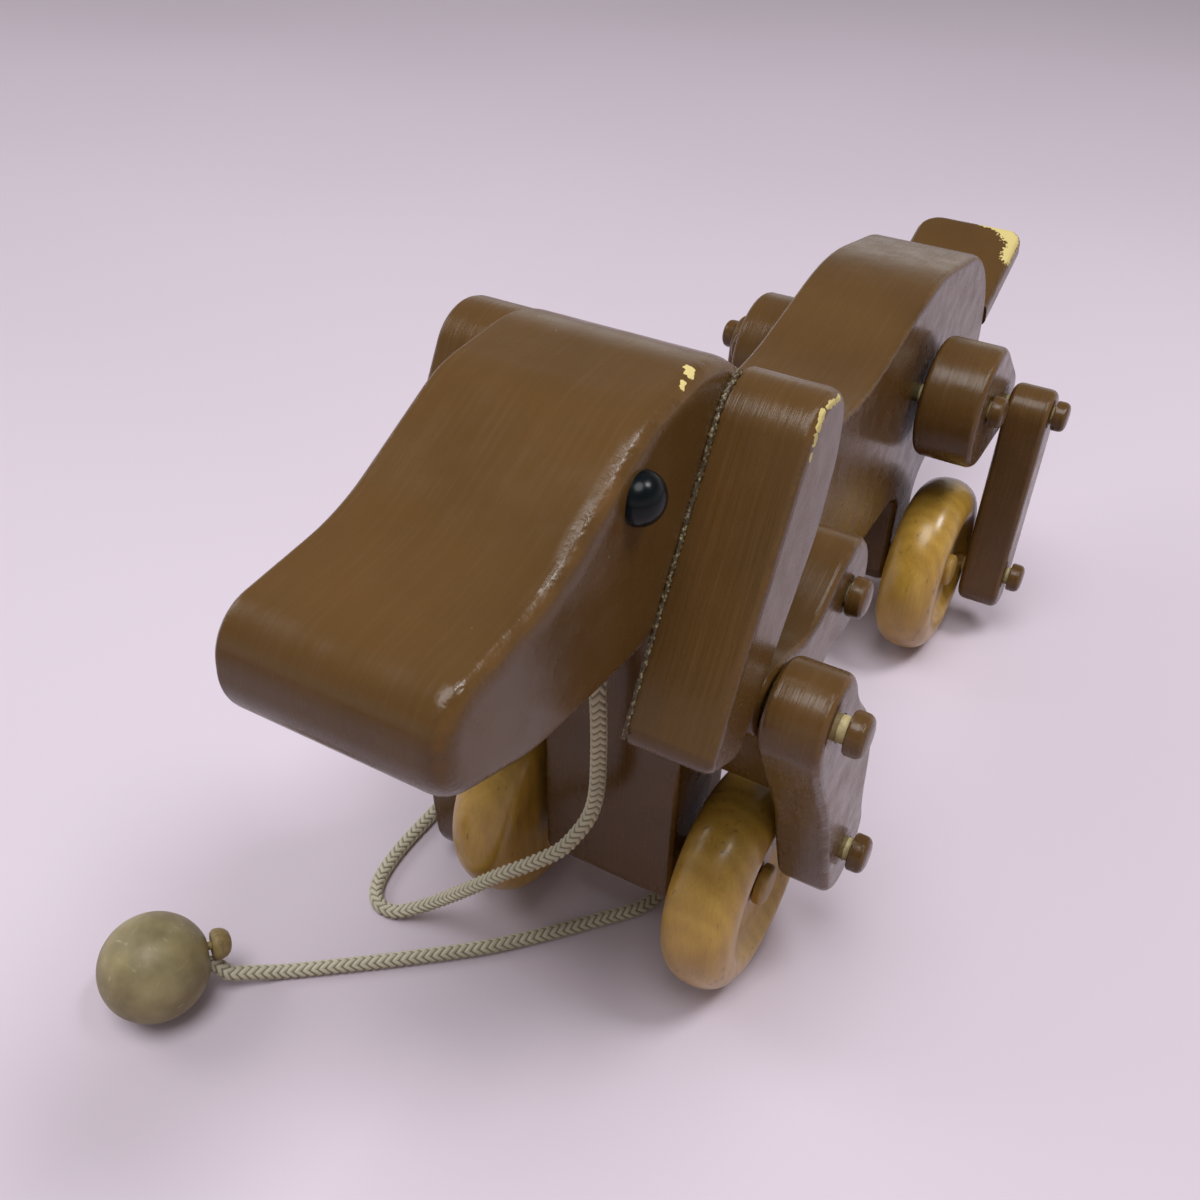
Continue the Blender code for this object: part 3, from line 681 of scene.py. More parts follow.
@dataclass(frozen=True)
class Hardwood:
    """Turned hardwood, varnished or bare.

    The eye sees soft growth layers, fine fibre lines along the grain and short dark flecks in rows.
    """

    name: str
    light: str
    dark: str
    fleck: str
    fleck_share: float
    layer: float
    roughness: float
    coat: float

    def make(self) -> Material:
        """Make the material.

        Returns:
            The new material.
        """
        material, tree, shader = fresh_material(self.name)
        own = add_node(tree, "Attribute", attribute_name=PLACE_ATTRIBUTE).outputs["Vector"]
        wander = add_node(tree, "TexNoise", {"Vector": own, "Scale": 1 / (22 * MM), "Detail": 2.0})
        bent = add_node(
            tree,
            "VectorMath",
            {0: wander.outputs["Color"], 1: (9 * MM,) * 3, 2: own},
            operation="MULTIPLY_ADD",
        )
        # Growth layers lie side by side along X, and the fibres and flecks run up the piece along Z.
        layers = add_node(
            tree,
            "TexWave",
            {"Vector": bent.outputs[0], "Scale": 0.314 / self.layer, "Distortion": 2.5, "Detail": 2.0},
            wave_type="BANDS",
            bands_direction="X",
        )
        along = add_node(tree, "VectorMath", {0: own, 1: (1.0, 1.0, 0.05)}, operation="MULTIPLY")
        fibre = add_node(
            tree,
            "TexNoise",
            {"Vector": along.outputs[0], "Scale": 1 / (0.8 * MM), "Detail": 4.0, "Roughness": 0.6},
        )
        short = add_node(tree, "VectorMath", {0: own, 1: (1.0, 1.0, 0.25)}, operation="MULTIPLY")
        fleck = add_node(
            tree, "TexNoise", {"Vector": short.outputs[0], "Scale": 1 / (1.4 * MM), "Detail": 2.0}
        )
        spread = add_node(tree, "VectorMath", {0: own, 1: (1.0, 1.0, 0.12)}, operation="MULTIPLY")
        rows = add_node(
            tree, "TexNoise", {"Vector": spread.outputs[0], "Scale": 1 / (5 * MM), "Detail": 0.0}
        )
        crowd = maths(tree, "MULTIPLY_ADD", rows.outputs["Fac"], 0.5, fleck.outputs["Fac"])
        dashes = add_node(
            tree,
            "MapRange",
            {"Value": crowd.outputs[0], "From Min": 0.93, "From Max": 1.03, "To Max": self.fleck_share},
        )
        blotch = add_node(tree, "TexNoise", {"Vector": own, "Scale": 1 / (14 * MM), "Detail": 2.0})
        mixed = maths(tree, "MULTIPLY_ADD", layers.outputs["Fac"], 0.22, blotch.outputs["Fac"])
        depth = maths(tree, "MULTIPLY_ADD", fibre.outputs["Fac"], 0.7, mixed.outputs[0])
        tone = add_node(tree, "MapRange", {"Value": depth.outputs[0], "From Min": 0.50, "From Max": 1.40})
        grain = blend(tree, tone.outputs[0], linear(self.dark), linear(self.light))
        colour = blend(tree, dashes.outputs[0], grain.outputs[2], linear(self.fleck))
        bump = add_node(
            tree, "Bump", {"Height": fibre.outputs["Fac"], "Strength": 0.25, "Distance": 0.05 * MM}
        )
        rough = add_node(
            tree,
            "MapRange",
            {"Value": fibre.outputs["Fac"], "To Min": self.roughness - 0.06, "To Max": self.roughness + 0.06},
        )
        tree.links.new(colour.outputs[2], shader.inputs["Base Color"])
        tree.links.new(rough.outputs[0], shader.inputs["Roughness"])
        tree.links.new(bump.outputs[0], shader.inputs["Normal"])
        shader.inputs["Coat Weight"].default_value = self.coat
        shader.inputs["Coat Roughness"].default_value = 0.15
        return material


@dataclass(frozen=True)
class RubbedHardwood:
    """Turned hardwood that hands and floors have rubbed dull.

    The eye sees soft darker patches on olive tan, with thin pale scratches across them.
    """

    name: str = "rubbed_hardwood"
    light: str = "#A89A72"
    dark: str = "#837553"
    scratch: str = "#C6BA96"
    scratch_ways: tuple = ((0.07, 1.0, 1.0), (1.0, 0.3, 0.07))

    def make(self) -> Material:
        """Make the material.

        Returns:
            The new material.
        """
        material, tree, shader = fresh_material(self.name)
        own = add_node(tree, "Attribute", attribute_name=PLACE_ATTRIBUTE).outputs["Vector"]
        patch = add_node(tree, "TexNoise", {"Vector": own, "Scale": 1 / (9 * MM), "Detail": 3.0})
        tone = add_node(
            tree, "MapRange", {"Value": patch.outputs["Fac"], "From Min": 0.32, "From Max": 0.68}
        )
        colour = blend(tree, tone.outputs[0], linear(self.dark), linear(self.light))
        for way in self.scratch_ways:
            along = add_node(tree, "VectorMath", {0: own, 1: way}, operation="MULTIPLY")
            line = add_node(
                tree, "TexNoise", {"Vector": along.outputs[0], "Scale": 1 / (1.3 * MM), "Detail": 2.0}
            )
            seen = add_node(
                tree,
                "MapRange",
                {"Value": line.outputs["Fac"], "From Min": 0.66, "From Max": 0.76, "To Max": 0.5},
            )
            colour = blend(tree, seen.outputs[0], colour.outputs[2], linear(self.scratch))
        rough = add_node(
            tree,
            "MapRange",
            {"Value": patch.outputs["Fac"], "From Min": 0.3, "From Max": 0.7, "To Min": 0.52, "To Max": 0.40},
        )
        bump = add_node(
            tree, "Bump", {"Height": patch.outputs["Fac"], "Strength": 0.3, "Distance": 0.2 * MM}
        )
        tree.links.new(colour.outputs[2], shader.inputs["Base Color"])
        tree.links.new(rough.outputs[0], shader.inputs["Roughness"])
        tree.links.new(bump.outputs[0], shader.inputs["Normal"])
        return material


@dataclass(frozen=True)
class BlackGloss:
    """Black glossy plastic of the eyes, on which the eye sees soft clear reflections and a little haze."""

    name: str = "glossy_black_plastic"
    black: str = "#030507"
    haze: str = "#0A1317"

    def make(self) -> Material:
        """Make the material.

        Returns:
            The new material.
        """
        material, tree, shader = fresh_material(self.name)
        place = add_node(tree, "TexCoord").outputs["Object"]
        film = add_node(tree, "TexNoise", {"Vector": place, "Scale": 1 / (3 * MM), "Detail": 4.0})
        colour = blend(tree, film.outputs["Fac"], linear(self.black), linear(self.haze))
        rough = add_node(
            tree,
            "MapRange",
            {"Value": film.outputs["Fac"], "From Min": 0.3, "From Max": 0.7, "To Min": 0.20, "To Max": 0.28},
        )
        tree.links.new(colour.outputs[2], shader.inputs["Base Color"])
        tree.links.new(rough.outputs[0], shader.inputs["Roughness"])
        shader.inputs["Specular IOR Level"].default_value = 0.20
        return material


@dataclass(frozen=True)
class BraidedCotton:
    """Braided cotton, on which the eye sees slanted pale strands; the shade in the gaps between them is
    painted into the colour.
    """

    name: str = "braided_cotton"
    strand: str = "#D8D1BB"
    # Painted shade: the colour of the gaps between the strands.
    groove_shade: str = "#7A705A"

    def make(self) -> Material:
        """Make the material.

        Returns:
            The new material.
        """
        material, tree, shader = fresh_material(self.name)
        raised = add_node(tree, "Attribute", attribute_name="braid_height").outputs["Fac"]
        place = add_node(tree, "TexCoord").outputs["Object"]
        soil = add_node(tree, "TexNoise", {"Vector": place, "Scale": 1 / (11 * MM), "Detail": 3.0})
        fuzz = add_node(tree, "TexNoise", {"Vector": place, "Scale": 1 / (0.25 * MM), "Detail": 2.0})
        # Painted shade: by the braid's height, the colour runs from the strand colour on the strands' tops to
        # the darker shade colour down between them.
        lit = add_node(tree, "MapRange", {"Value": raised, "From Min": 0.05, "From Max": 0.6})
        braid = blend(tree, lit.outputs[0], linear(self.groove_shade), linear(self.strand))
        tone = add_node(
            tree,
            "MapRange",
            {"Value": soil.outputs["Fac"], "From Min": 0.3, "From Max": 0.7, "To Min": 0.90, "To Max": 1.06},
        )
        colour = add_node(
            tree, "VectorMath", {0: braid.outputs[2], "Scale": tone.outputs[0]}, operation="SCALE"
        )
        bump = add_node(
            tree, "Bump", {"Height": fuzz.outputs["Fac"], "Strength": 0.5, "Distance": 0.08 * MM}
        )
        tree.links.new(colour.outputs[0], shader.inputs["Base Color"])
        tree.links.new(bump.outputs[0], shader.inputs["Normal"])
        shader.inputs["Roughness"].default_value = 0.85
        shader.inputs["Sheen Weight"].default_value = 0.2
        return material


@dataclass(frozen=True)
class DriedGlue:
    """Dried glue squeezed from a seam, on which the eye sees a crust of grey-olive grains that sparkle."""

    name: str = "dried_glue"
    crust: str = "#4A3A22"
    grain: str = "#A39878"

    def make(self) -> Material:
        """Make the material.

        Returns:
            The new material.
        """
        material, tree, shader = fresh_material(self.name)
        place = add_node(tree, "TexCoord").outputs["Object"]
        grains = add_node(tree, "TexVoronoi", {"Vector": place, "Scale": 1 / (0.9 * MM)})
        tone = add_node(
            tree, "MapRange", {"Value": grains.outputs["Distance"], "From Min": 0.1, "From Max": 0.5}
        )
        colour = blend(tree, tone.outputs[0], linear(self.grain), linear(self.crust))
        crumbs = {"Height": grains.outputs["Distance"], "Strength": 0.9, "Distance": 0.3 * MM}
        bump = add_node(tree, "Bump", crumbs, invert=True)
        tree.links.new(colour.outputs[2], shader.inputs["Base Color"])
        tree.links.new(bump.outputs[0], shader.inputs["Normal"])
        shader.inputs["Roughness"].default_value = 0.3
        return material


VARNISHED = Hardwood("varnished_hardwood", "#D4AA4C", "#A87E30", "#54401C", 0.5, 4.5 * MM, 0.30, 0.25)
OILED = Hardwood("oiled_hardwood", "#BE9A50", "#9C7632", "#5A3E1C", 0.4, 2.5 * MM, 0.42, 0.1)
BARE = Hardwood("bare_hardwood", "#DCCE9C", "#C4B07C", "#8A7048", 0.35, 2.0 * MM, 0.55, 0.0)
STAINED = Hardwood("stained_hardwood", "#A18B5A", "#7C6840", "#5A482C", 0.3, 2.0 * MM, 0.5, 0.0)


@dataclass
class Studio:
    """Camera at the photograph's place, a plain pale floor and soft light."""

    camera_place: tuple = (0.29142, 0.10228, 0.28717)
    camera_right: tuple = (-0.495579, 0.86837, 0.018297)
    camera_up: tuple = (-0.522175, -0.314707, 0.792649)
    camera_back: tuple = (0.694071, 0.383266, 0.609404)
    focal_pixels: float = 1214.09
    image_pixels: float = 1200.0
    sensor_width: float = 36.0
    floor_half: float = 4.0
    floor_colour: str = "#E3D6E4"
    floor_bounce: str = "#A8948C"
    sky_colour: str = "#E8E6E4"
    sky_strength: float = 0.30
    backdrop_strengths: tuple = (0.90, 0.30)
    backdrop_reach: tuple = (0.15, 0.45)
    target: tuple = (0.02, 0.0, 0.09)
    lamps: tuple = (
        ("ceiling_lamp", (-0.17, 0.62, 1.40), 0.42, 8.0),
        ("front_softbox", (0.50, 0.05, 1.55), 0.9, 11.5),
        ("right_softbox", (0.30, -1.30, 1.05), 0.8, 4.5),
    )

    def build(self) -> None:
        """Set the camera, the floor, the sky and the lamps."""
        self.set_camera()
        self.lay_floor()
        self.set_light()
        bpy.context.scene.view_settings.view_transform = "Standard"

    def set_camera(self) -> None:
        """Stand the camera where the photograph was taken from."""
        data = bpy.data.cameras.new("camera")
        data.sensor_width = self.sensor_width
        data.lens = self.sensor_width * self.focal_pixels / self.image_pixels
        data.clip_start = 0.01
        camera = bpy.data.objects.new("camera", data)
        axes = Matrix((self.camera_right, self.camera_up, self.camera_back)).transposed()
        camera.matrix_world = Matrix.Translation(self.camera_place) @ axes.to_4x4()
        bpy.context.scene.collection.objects.link(camera)
        bpy.context.scene.camera = camera

    def lay_floor(self) -> None:
        """Lay a plain floor."""
        deselect_all()
        bpy.ops.mesh.primitive_plane_add(size=2 * self.floor_half, location=(0, 0, 0))
        floor = name_piece("floor")
        material, tree, shader = fresh_material("plain_floor")
        place = add_node(tree, "TexCoord").outputs["Object"]
        cloud = add_node(tree, "TexNoise", {"Vector": place, "Scale": 1 / (400 * MM), "Detail": 1.0})
        tone = add_node(
            tree,
            "MapRange",
            {"Value": cloud.outputs["Fac"], "From Min": 0.3, "From Max": 0.7, "To Min": 0.97, "To Max": 1.02},
        )
        colour = add_node(
            tree,
            "VectorMath",
            {0: linear(self.floor_colour)[:3], "Scale": tone.outputs[0]},
            operation="SCALE",
        )
        # The pale floor is for the eye alone: what it throws back on the dog is as from a darker room.
        seen = add_node(tree, "LightPath").outputs["Is Diffuse Ray"]
        thrown = blend(tree, seen, colour.outputs[0], linear(self.floor_bounce))
        tree.links.new(thrown.outputs[2], shader.inputs["Base Color"])
        shader.inputs["Roughness"].default_value = 0.9
        shader.inputs["Specular IOR Level"].default_value = 0.1
        floor.data.materials.append(material)

    def set_light(self) -> None:
        """Light the dog from a pale sky and soft lamps, before a backdrop that is pale low down."""
        sky = bpy.data.worlds.new("studio_sky")
        sky.use_nodes = True
        tree = sky.node_tree
        background = tree.nodes["Background"]
        background.inputs["Color"].default_value = linear(self.sky_colour)
        seen = add_node(tree, "LightPath").outputs
        mirrored = maths(tree, "MAXIMUM", seen["Is Camera Ray"], seen["Is Glossy Ray"])
        through = maths(tree, "MAXIMUM", mirrored.outputs[0], seen["Is Transmission Ray"])
        way = add_node(tree, "TexCoord").outputs["Generated"]
        height = add_node(tree, "SeparateXYZ", {0: way}).outputs["Z"]
        low, high = self.backdrop_reach
        pale, dim = self.backdrop_strengths
        backdrop = add_node(
            tree,
            "MapRange",
            {"Value": height, "From Min": low, "From Max": high, "To Min": pale, "To Max": dim},
        )
        strength = add_node(
            tree,
            "MapRange",
            {"Value": through.outputs[0], "To Min": self.sky_strength, "To Max": backdrop.outputs[0]},
        )
        tree.links.new(strength.outputs[0], background.inputs["Strength"])
        bpy.context.scene.world = sky
        for name, place, size, power in self.lamps:
            data = bpy.data.lights.new(name, "AREA")
            data.shape = "DISK"
            data.size = size
            data.energy = power
            lamp = bpy.data.objects.new(name, data)
            lamp.location = place
            lamp.rotation_euler = (Vector(self.target) - Vector(place)).to_track_quat("-Z", "Y").to_euler()
            bpy.context.scene.collection.objects.link(lamp)


@dataclass
class PullCord:
    """Braided cord from the chest to the ball, with the ball and the plug on its end."""

    radius: float = 0.0019
    proud: float = 0.00020
    relief: float = 0.00050
    columns: int = 6
    points_per_column: int = 8
    pitch: float = 0.0022
    slant: float = 0.85
    ring_step: float = 0.00030
    path_step: float = 0.004
    ball_radius: float = 0.0143
    ball_place: tuple = (0.0929, -0.0912, 0.0143)
    ball_rows: int = 48
    ball_facets: int = 96
    bore_way: tuple = (-0.80, 0.58, -0.15)
    bore_radius: float = 0.0048
    bore_floor: float = 0.0040
    plug_shaft_radius: float = 0.0011
    plug_head_radius: float = 0.0042
    plug_start: float = 0.0050
    plug_head_reach: tuple = (0.0145, 0.0197)
    plug_above_bore_axis: float = 0.0034
    plug_head_profile: tuple = (
        (0.0, 1.0),
        (0.30, 0.98),
        (0.62, 0.90),
        (0.86, 0.72),
        (0.97, 0.50),
        (1.0, 0.30),
        (0.97, 0.14),
        (0.80, 0.0),
    )
    route: tuple = (
        (0.0025, 0.0000, 0.1060),
        (0.0120, 0.0000, 0.1060),
        (0.0195, 0.0004, 0.1056),
        (0.0232, 0.0014, 0.1010),
        (0.0236, 0.0020, 0.0920),
        (0.0232, 0.0020, 0.0800),
        (0.0230, 0.0016, 0.0676),
        (0.0240, 0.0007, 0.0600),
        (0.0260, -0.0013, 0.0543),
        (0.0285, -0.0057, 0.0466),
        (0.0310, -0.0134, 0.0390),
        (0.0330, -0.0217, 0.0317),
        (0.0340, -0.0312, 0.0214),
        (0.0345, -0.0418, 0.0101),
        (0.0370, -0.0491, 0.0045),
        (0.0396, -0.0550, 0.0022),
        (0.0392, -0.0610, 0.0020),
        (0.0330, -0.0655, 0.0020),
        (0.0200, -0.0676, 0.0020),
        (0.0010, -0.0675, 0.0020),
        (-0.0200, -0.0668, 0.0020),
        (-0.0420, -0.0600, 0.0020),
        (-0.0545, -0.0420, 0.0020),
        (-0.0535, -0.0200, 0.0020),
        (-0.0380, -0.0010, 0.0020),
        (-0.0180, 0.0075, 0.0020),
        (-0.0010, 0.0068, 0.0020),
        (0.0118, -0.0025, 0.0020),
        (0.0336, -0.0225, 0.0020),
        (0.0505, -0.0422, 0.0020),
        (0.0662, -0.0622, 0.0020),
        (0.0710, -0.0685, 0.0021),
        (0.0743, -0.0719, 0.0033),
        (0.0785, -0.0762, 0.0050),
        (0.0807, -0.0784, 0.0062),
        (0.0821, -0.0815, 0.0092),
        (0.0841, -0.0840, 0.0106),
        (0.0865, -0.0862, 0.0109),
        (0.0893, -0.0883, 0.0115),
    )

    def build(self) -> None:
        way = Vector(self.bore_way).normalized()
        self.make_cord([self.make_ball(way), self.make_plug(way)])

    def make_ball(self, way: Vector) -> Piece:
        """Turn the ball and drill its bore.

        Args:
            way: Direction of the bore.

        Returns:
            The ball.
        """
        section = []
        for row in range(self.ball_rows + 1):
            angle = math.pi * row / self.ball_rows
            section.append((self.ball_radius * math.sin(angle), self.ball_radius * math.cos(angle)))
        ball = turned("turned_pull_ball", section, self.ball_facets)
        drill(ball, Vector((0, 0, 0)), way, self.bore_radius, self.bore_floor, 2 * self.ball_radius)
        keep_place(ball, 0.011)
        put(ball, Matrix.Translation(world(*self.ball_place)))
        smooth(ball)
        ball.data.materials.append(RubbedHardwood().make())
        settle(ball, "dog", "worn_hardwood", "pull_ball")
        return ball

    def make_plug(self, way: Vector) -> Piece:
        """Turn the round-headed plug.

        Args:
            way: Direction of the bore.

        Returns:
            The plug.
        """
        seat, tip = self.plug_head_reach
        profile = [
            (self.plug_head_radius * out, seat + (tip - seat) * tall) for out, tall in self.plug_head_profile
        ]
        shaft = self.plug_shaft_radius
        profile += [(shaft, seat), (shaft, self.plug_start), (0.0, self.plug_start)]
        plug = turned("turned_plug", profile, PEG_FACETS)
        keep_place(plug, 0.05)
        bore_up = (UP - way * way.z).normalized()
        place = world(*self.ball_place) + bore_up * self.plug_above_bore_axis
        put(plug, Matrix.Translation(place) @ ACROSS.rotation_difference(way).to_matrix().to_4x4())
        smooth(plug)
        plug.data.materials.append(STAINED.make())
        settle(plug, "dog", "bare_hardwood", "ball_plug")
        return plug

    def make_cord(self, on_end: list[Piece]) -> None:
        """Args:
            on_end: Pieces on the cord's far end. It is not used.
        """
        points = [world(*point) for point in self.route]
        line = np.array(smooth_route(points, self.ring_step))
        turns = np.arange(self.columns * self.points_per_column) / self.points_per_column
        column = np.floor(turns)
        aside = turns - column - 0.5
        lean = np.where(column % 2 == 0, 1.0, -1.0)
        length = np.arange(len(line))[:, None] * np.linalg.norm(line[1] - line[0])
        # Strands lean one way in a column and the other way in the next, which makes the chevrons.
        cycle = (length / self.pitch + lean * aside * self.slant) % 1.0
        height = np.sin(math.pi * cycle) ** 1.2 * (1 - 0.25 * np.abs(2 * aside) ** 4)
        cord = sweep("braided_cord", line, self.radius + self.proud - self.relief * (1 - height))
        layer = cord.data.attributes.new("braid_height", "FLOAT", "POINT")
        layer.data.foreach_set("value", height.astype(np.float32).ravel())
        cord.data.materials.append(BraidedCotton().make())
        settle(cord, "dog", "braided_cotton", "pull_cord")


@dataclass
class Body:
    """Body plank with its chest, belly arch, rear axle block and round rump, and the tail on it."""

    width: float = 0.0390
    round_over: float = 0.0028
    chest_x: float = 0.0145
    chest_bottom: float = 0.0235
    neck_top: float = 0.1350
    belly: float = 0.0630
    block_bottom: float = 0.0215
    rump_centre: tuple = (-0.1886, 0.0838)
    rump_radius: float = 0.0500
    rump_fall: float = math.radians(10.5)
    croup_x: float = -0.1580
    cord_hole_z: float = 0.1060
    cord_hole_radius: float = 0.0028
    cord_hole_depth: float = 0.0130
    dowel_depth: float = 0.0171
    head_dowel_radius: float = 0.0043
    head_dowel_x: tuple = (0.0070, -0.0080)
    tail_width: float = 0.0400
    tail_thickness: float = 0.0105
    tail_length: float = 0.0444
    tail_rise: float = math.radians(20.5)
    tail_root_angle: float = math.radians(164.8)
    tail_corner_rounds: tuple = (0.0085, 0.0060)
    tail_round_over: float = 0.0034
    tail_dowel_radius: float = 0.0033
    tail_chips: tuple = (
        ((-0.1905, 0.0040, 0.1166), (-0.1890, 0.0130, 0.1168), 0.0022),
        ((-0.1890, 0.0130, 0.1168), (-0.1840, 0.0180, 0.1150), 0.0042),
        ((-0.1840, 0.0186, 0.1145), (-0.1755, 0.0188, 0.1113), 0.0034),
        ((-0.1870, -0.0195, 0.1150), (-0.1840, -0.0198, 0.1140), 0.0012),
    )

    def corners(self) -> list[tuple[float, float, float]]:
        """Corners of the body's side outline, each with its radius."""
        rump_x = self.rump_centre[0] - self.rump_radius
        fall = self.rump_fall
        corner_z = self.rump_centre[1] + self.rump_radius * (1 - math.sin(fall)) / math.cos(fall)
        croup_z = corner_z + (self.croup_x - rump_x) * math.tan(fall)
        return [
            (self.chest_x, self.chest_bottom, 0.006),
            (self.chest_x, self.neck_top, 0.006),
            (-0.0320, self.neck_top, 0.100),
            (-0.0960, 0.1262, 0.100),
            (self.croup_x, croup_z, 0.080),
            (rump_x, corner_z, self.rump_radius),
            (rump_x, 0.0640, 0.021),
            (-0.1780, 0.0590, 0.010),
            (-0.1775, self.block_bottom, 0.009),
            (-0.1545, self.block_bottom, 0.009),
            (-0.1565, self.belly, 0.010),
            (-0.0170, self.belly, 0.014),
            (-0.0155, self.chest_bottom, 0.006),
        ]

    def tail_line(self) -> tuple[Vector, Vector]:
        """Direction of the tail and the middle of its root, in the side view."""
        along = Vector((-math.cos(self.tail_rise), math.sin(self.tail_rise)))
        spoke = self.rump_radius * Vector((math.cos(self.tail_root_angle), math.sin(self.tail_root_angle)))
        return along, Vector(self.rump_centre) + spoke

    def build(self, holes: list[tuple[float, float, float]]) -> None:
        """Saw and drill the body and the tail.

        Args:
            holes: Peg holes through the body, each (x, z, radius).
        """
        outline = [(FRONT_AXLE_X + x, z) for x, z in rounded(self.corners())]
        body = plate("body_plank", outline, -self.width / 2, self.width / 2, (self.round_over,) * 2)
        for x, z, radius in holes:
            drill(body, world(x, 0, z), ACROSS, radius, -self.width, self.width)
        for x in self.head_dowel_x:
            drill(body, world(x, 0, self.neck_top), UP, self.head_dowel_radius, -self.dowel_depth, 5 * MM)
        drill(
            body,
            world(self.chest_x, 0, self.cord_hole_z),
            Vector((1, 0, 0)),
            self.cord_hole_radius,
            -self.cord_hole_depth,
            5 * MM,
        )
        along, root = self.tail_line()
        way = Vector((along.x, 0, along.y))
        drill(body, world(root.x, 0, root.y), way, self.tail_dowel_radius, -self.dowel_depth, 5 * MM)
        keep_place(body)
        smooth(body)
        body.data.materials.append(BrownEnamel("brown_enamel_body", Stroke.ALONG_X).make())
        settle(body, "dog", "brown_enamel", "body")
        self.build_tail(along, root)

    def build_tail(self, along: Vector, root: Vector) -> None:
        """Saw the tail board in plan, stand it on its slope and hollow its root to the rump's curve.

        Args:
            along: Direction of the tail in the side view.
            root: Middle of its root in the side view.
        """
        half = self.tail_width / 2
        buried = -self.rump_radius / 2
        right, left = self.tail_corner_rounds
        board = rounded(
            [
                (buried, -half, 0),
                (self.tail_length, -half, right),
                (self.tail_length, half, left),
                (buried, half, 0),
            ]
        )
        thick = self.tail_thickness / 2
        tail = plate("tail_board", board, -thick, thick, (self.tail_round_over,) * 2)
        keep_place(tail)
        way = Vector((along.x, 0, along.y))
        above = Vector((along.y, 0, -along.x))
        slope = Matrix((way, above, ACROSS)).transposed().to_4x4()
        place = world(root.x, 0, root.y)
        put(tail, Matrix.Translation(place) @ slope)
        centre = world(self.rump_centre[0], 0, self.rump_centre[1])
        drill(tail, centre, ACROSS, self.rump_radius + GAP, -self.width, self.width, RUMP_FACETS)
        drill(tail, place, way, self.tail_dowel_radius, -5 * MM, self.dowel_depth)
        smooth(tail)
        paint = BrownEnamel("brown_enamel_tail", Stroke.ALONG_X, chips=self.tail_chips)
        tail.data.materials.append(paint.make())
        settle(tail, "dog", "brown_enamel", "tail")


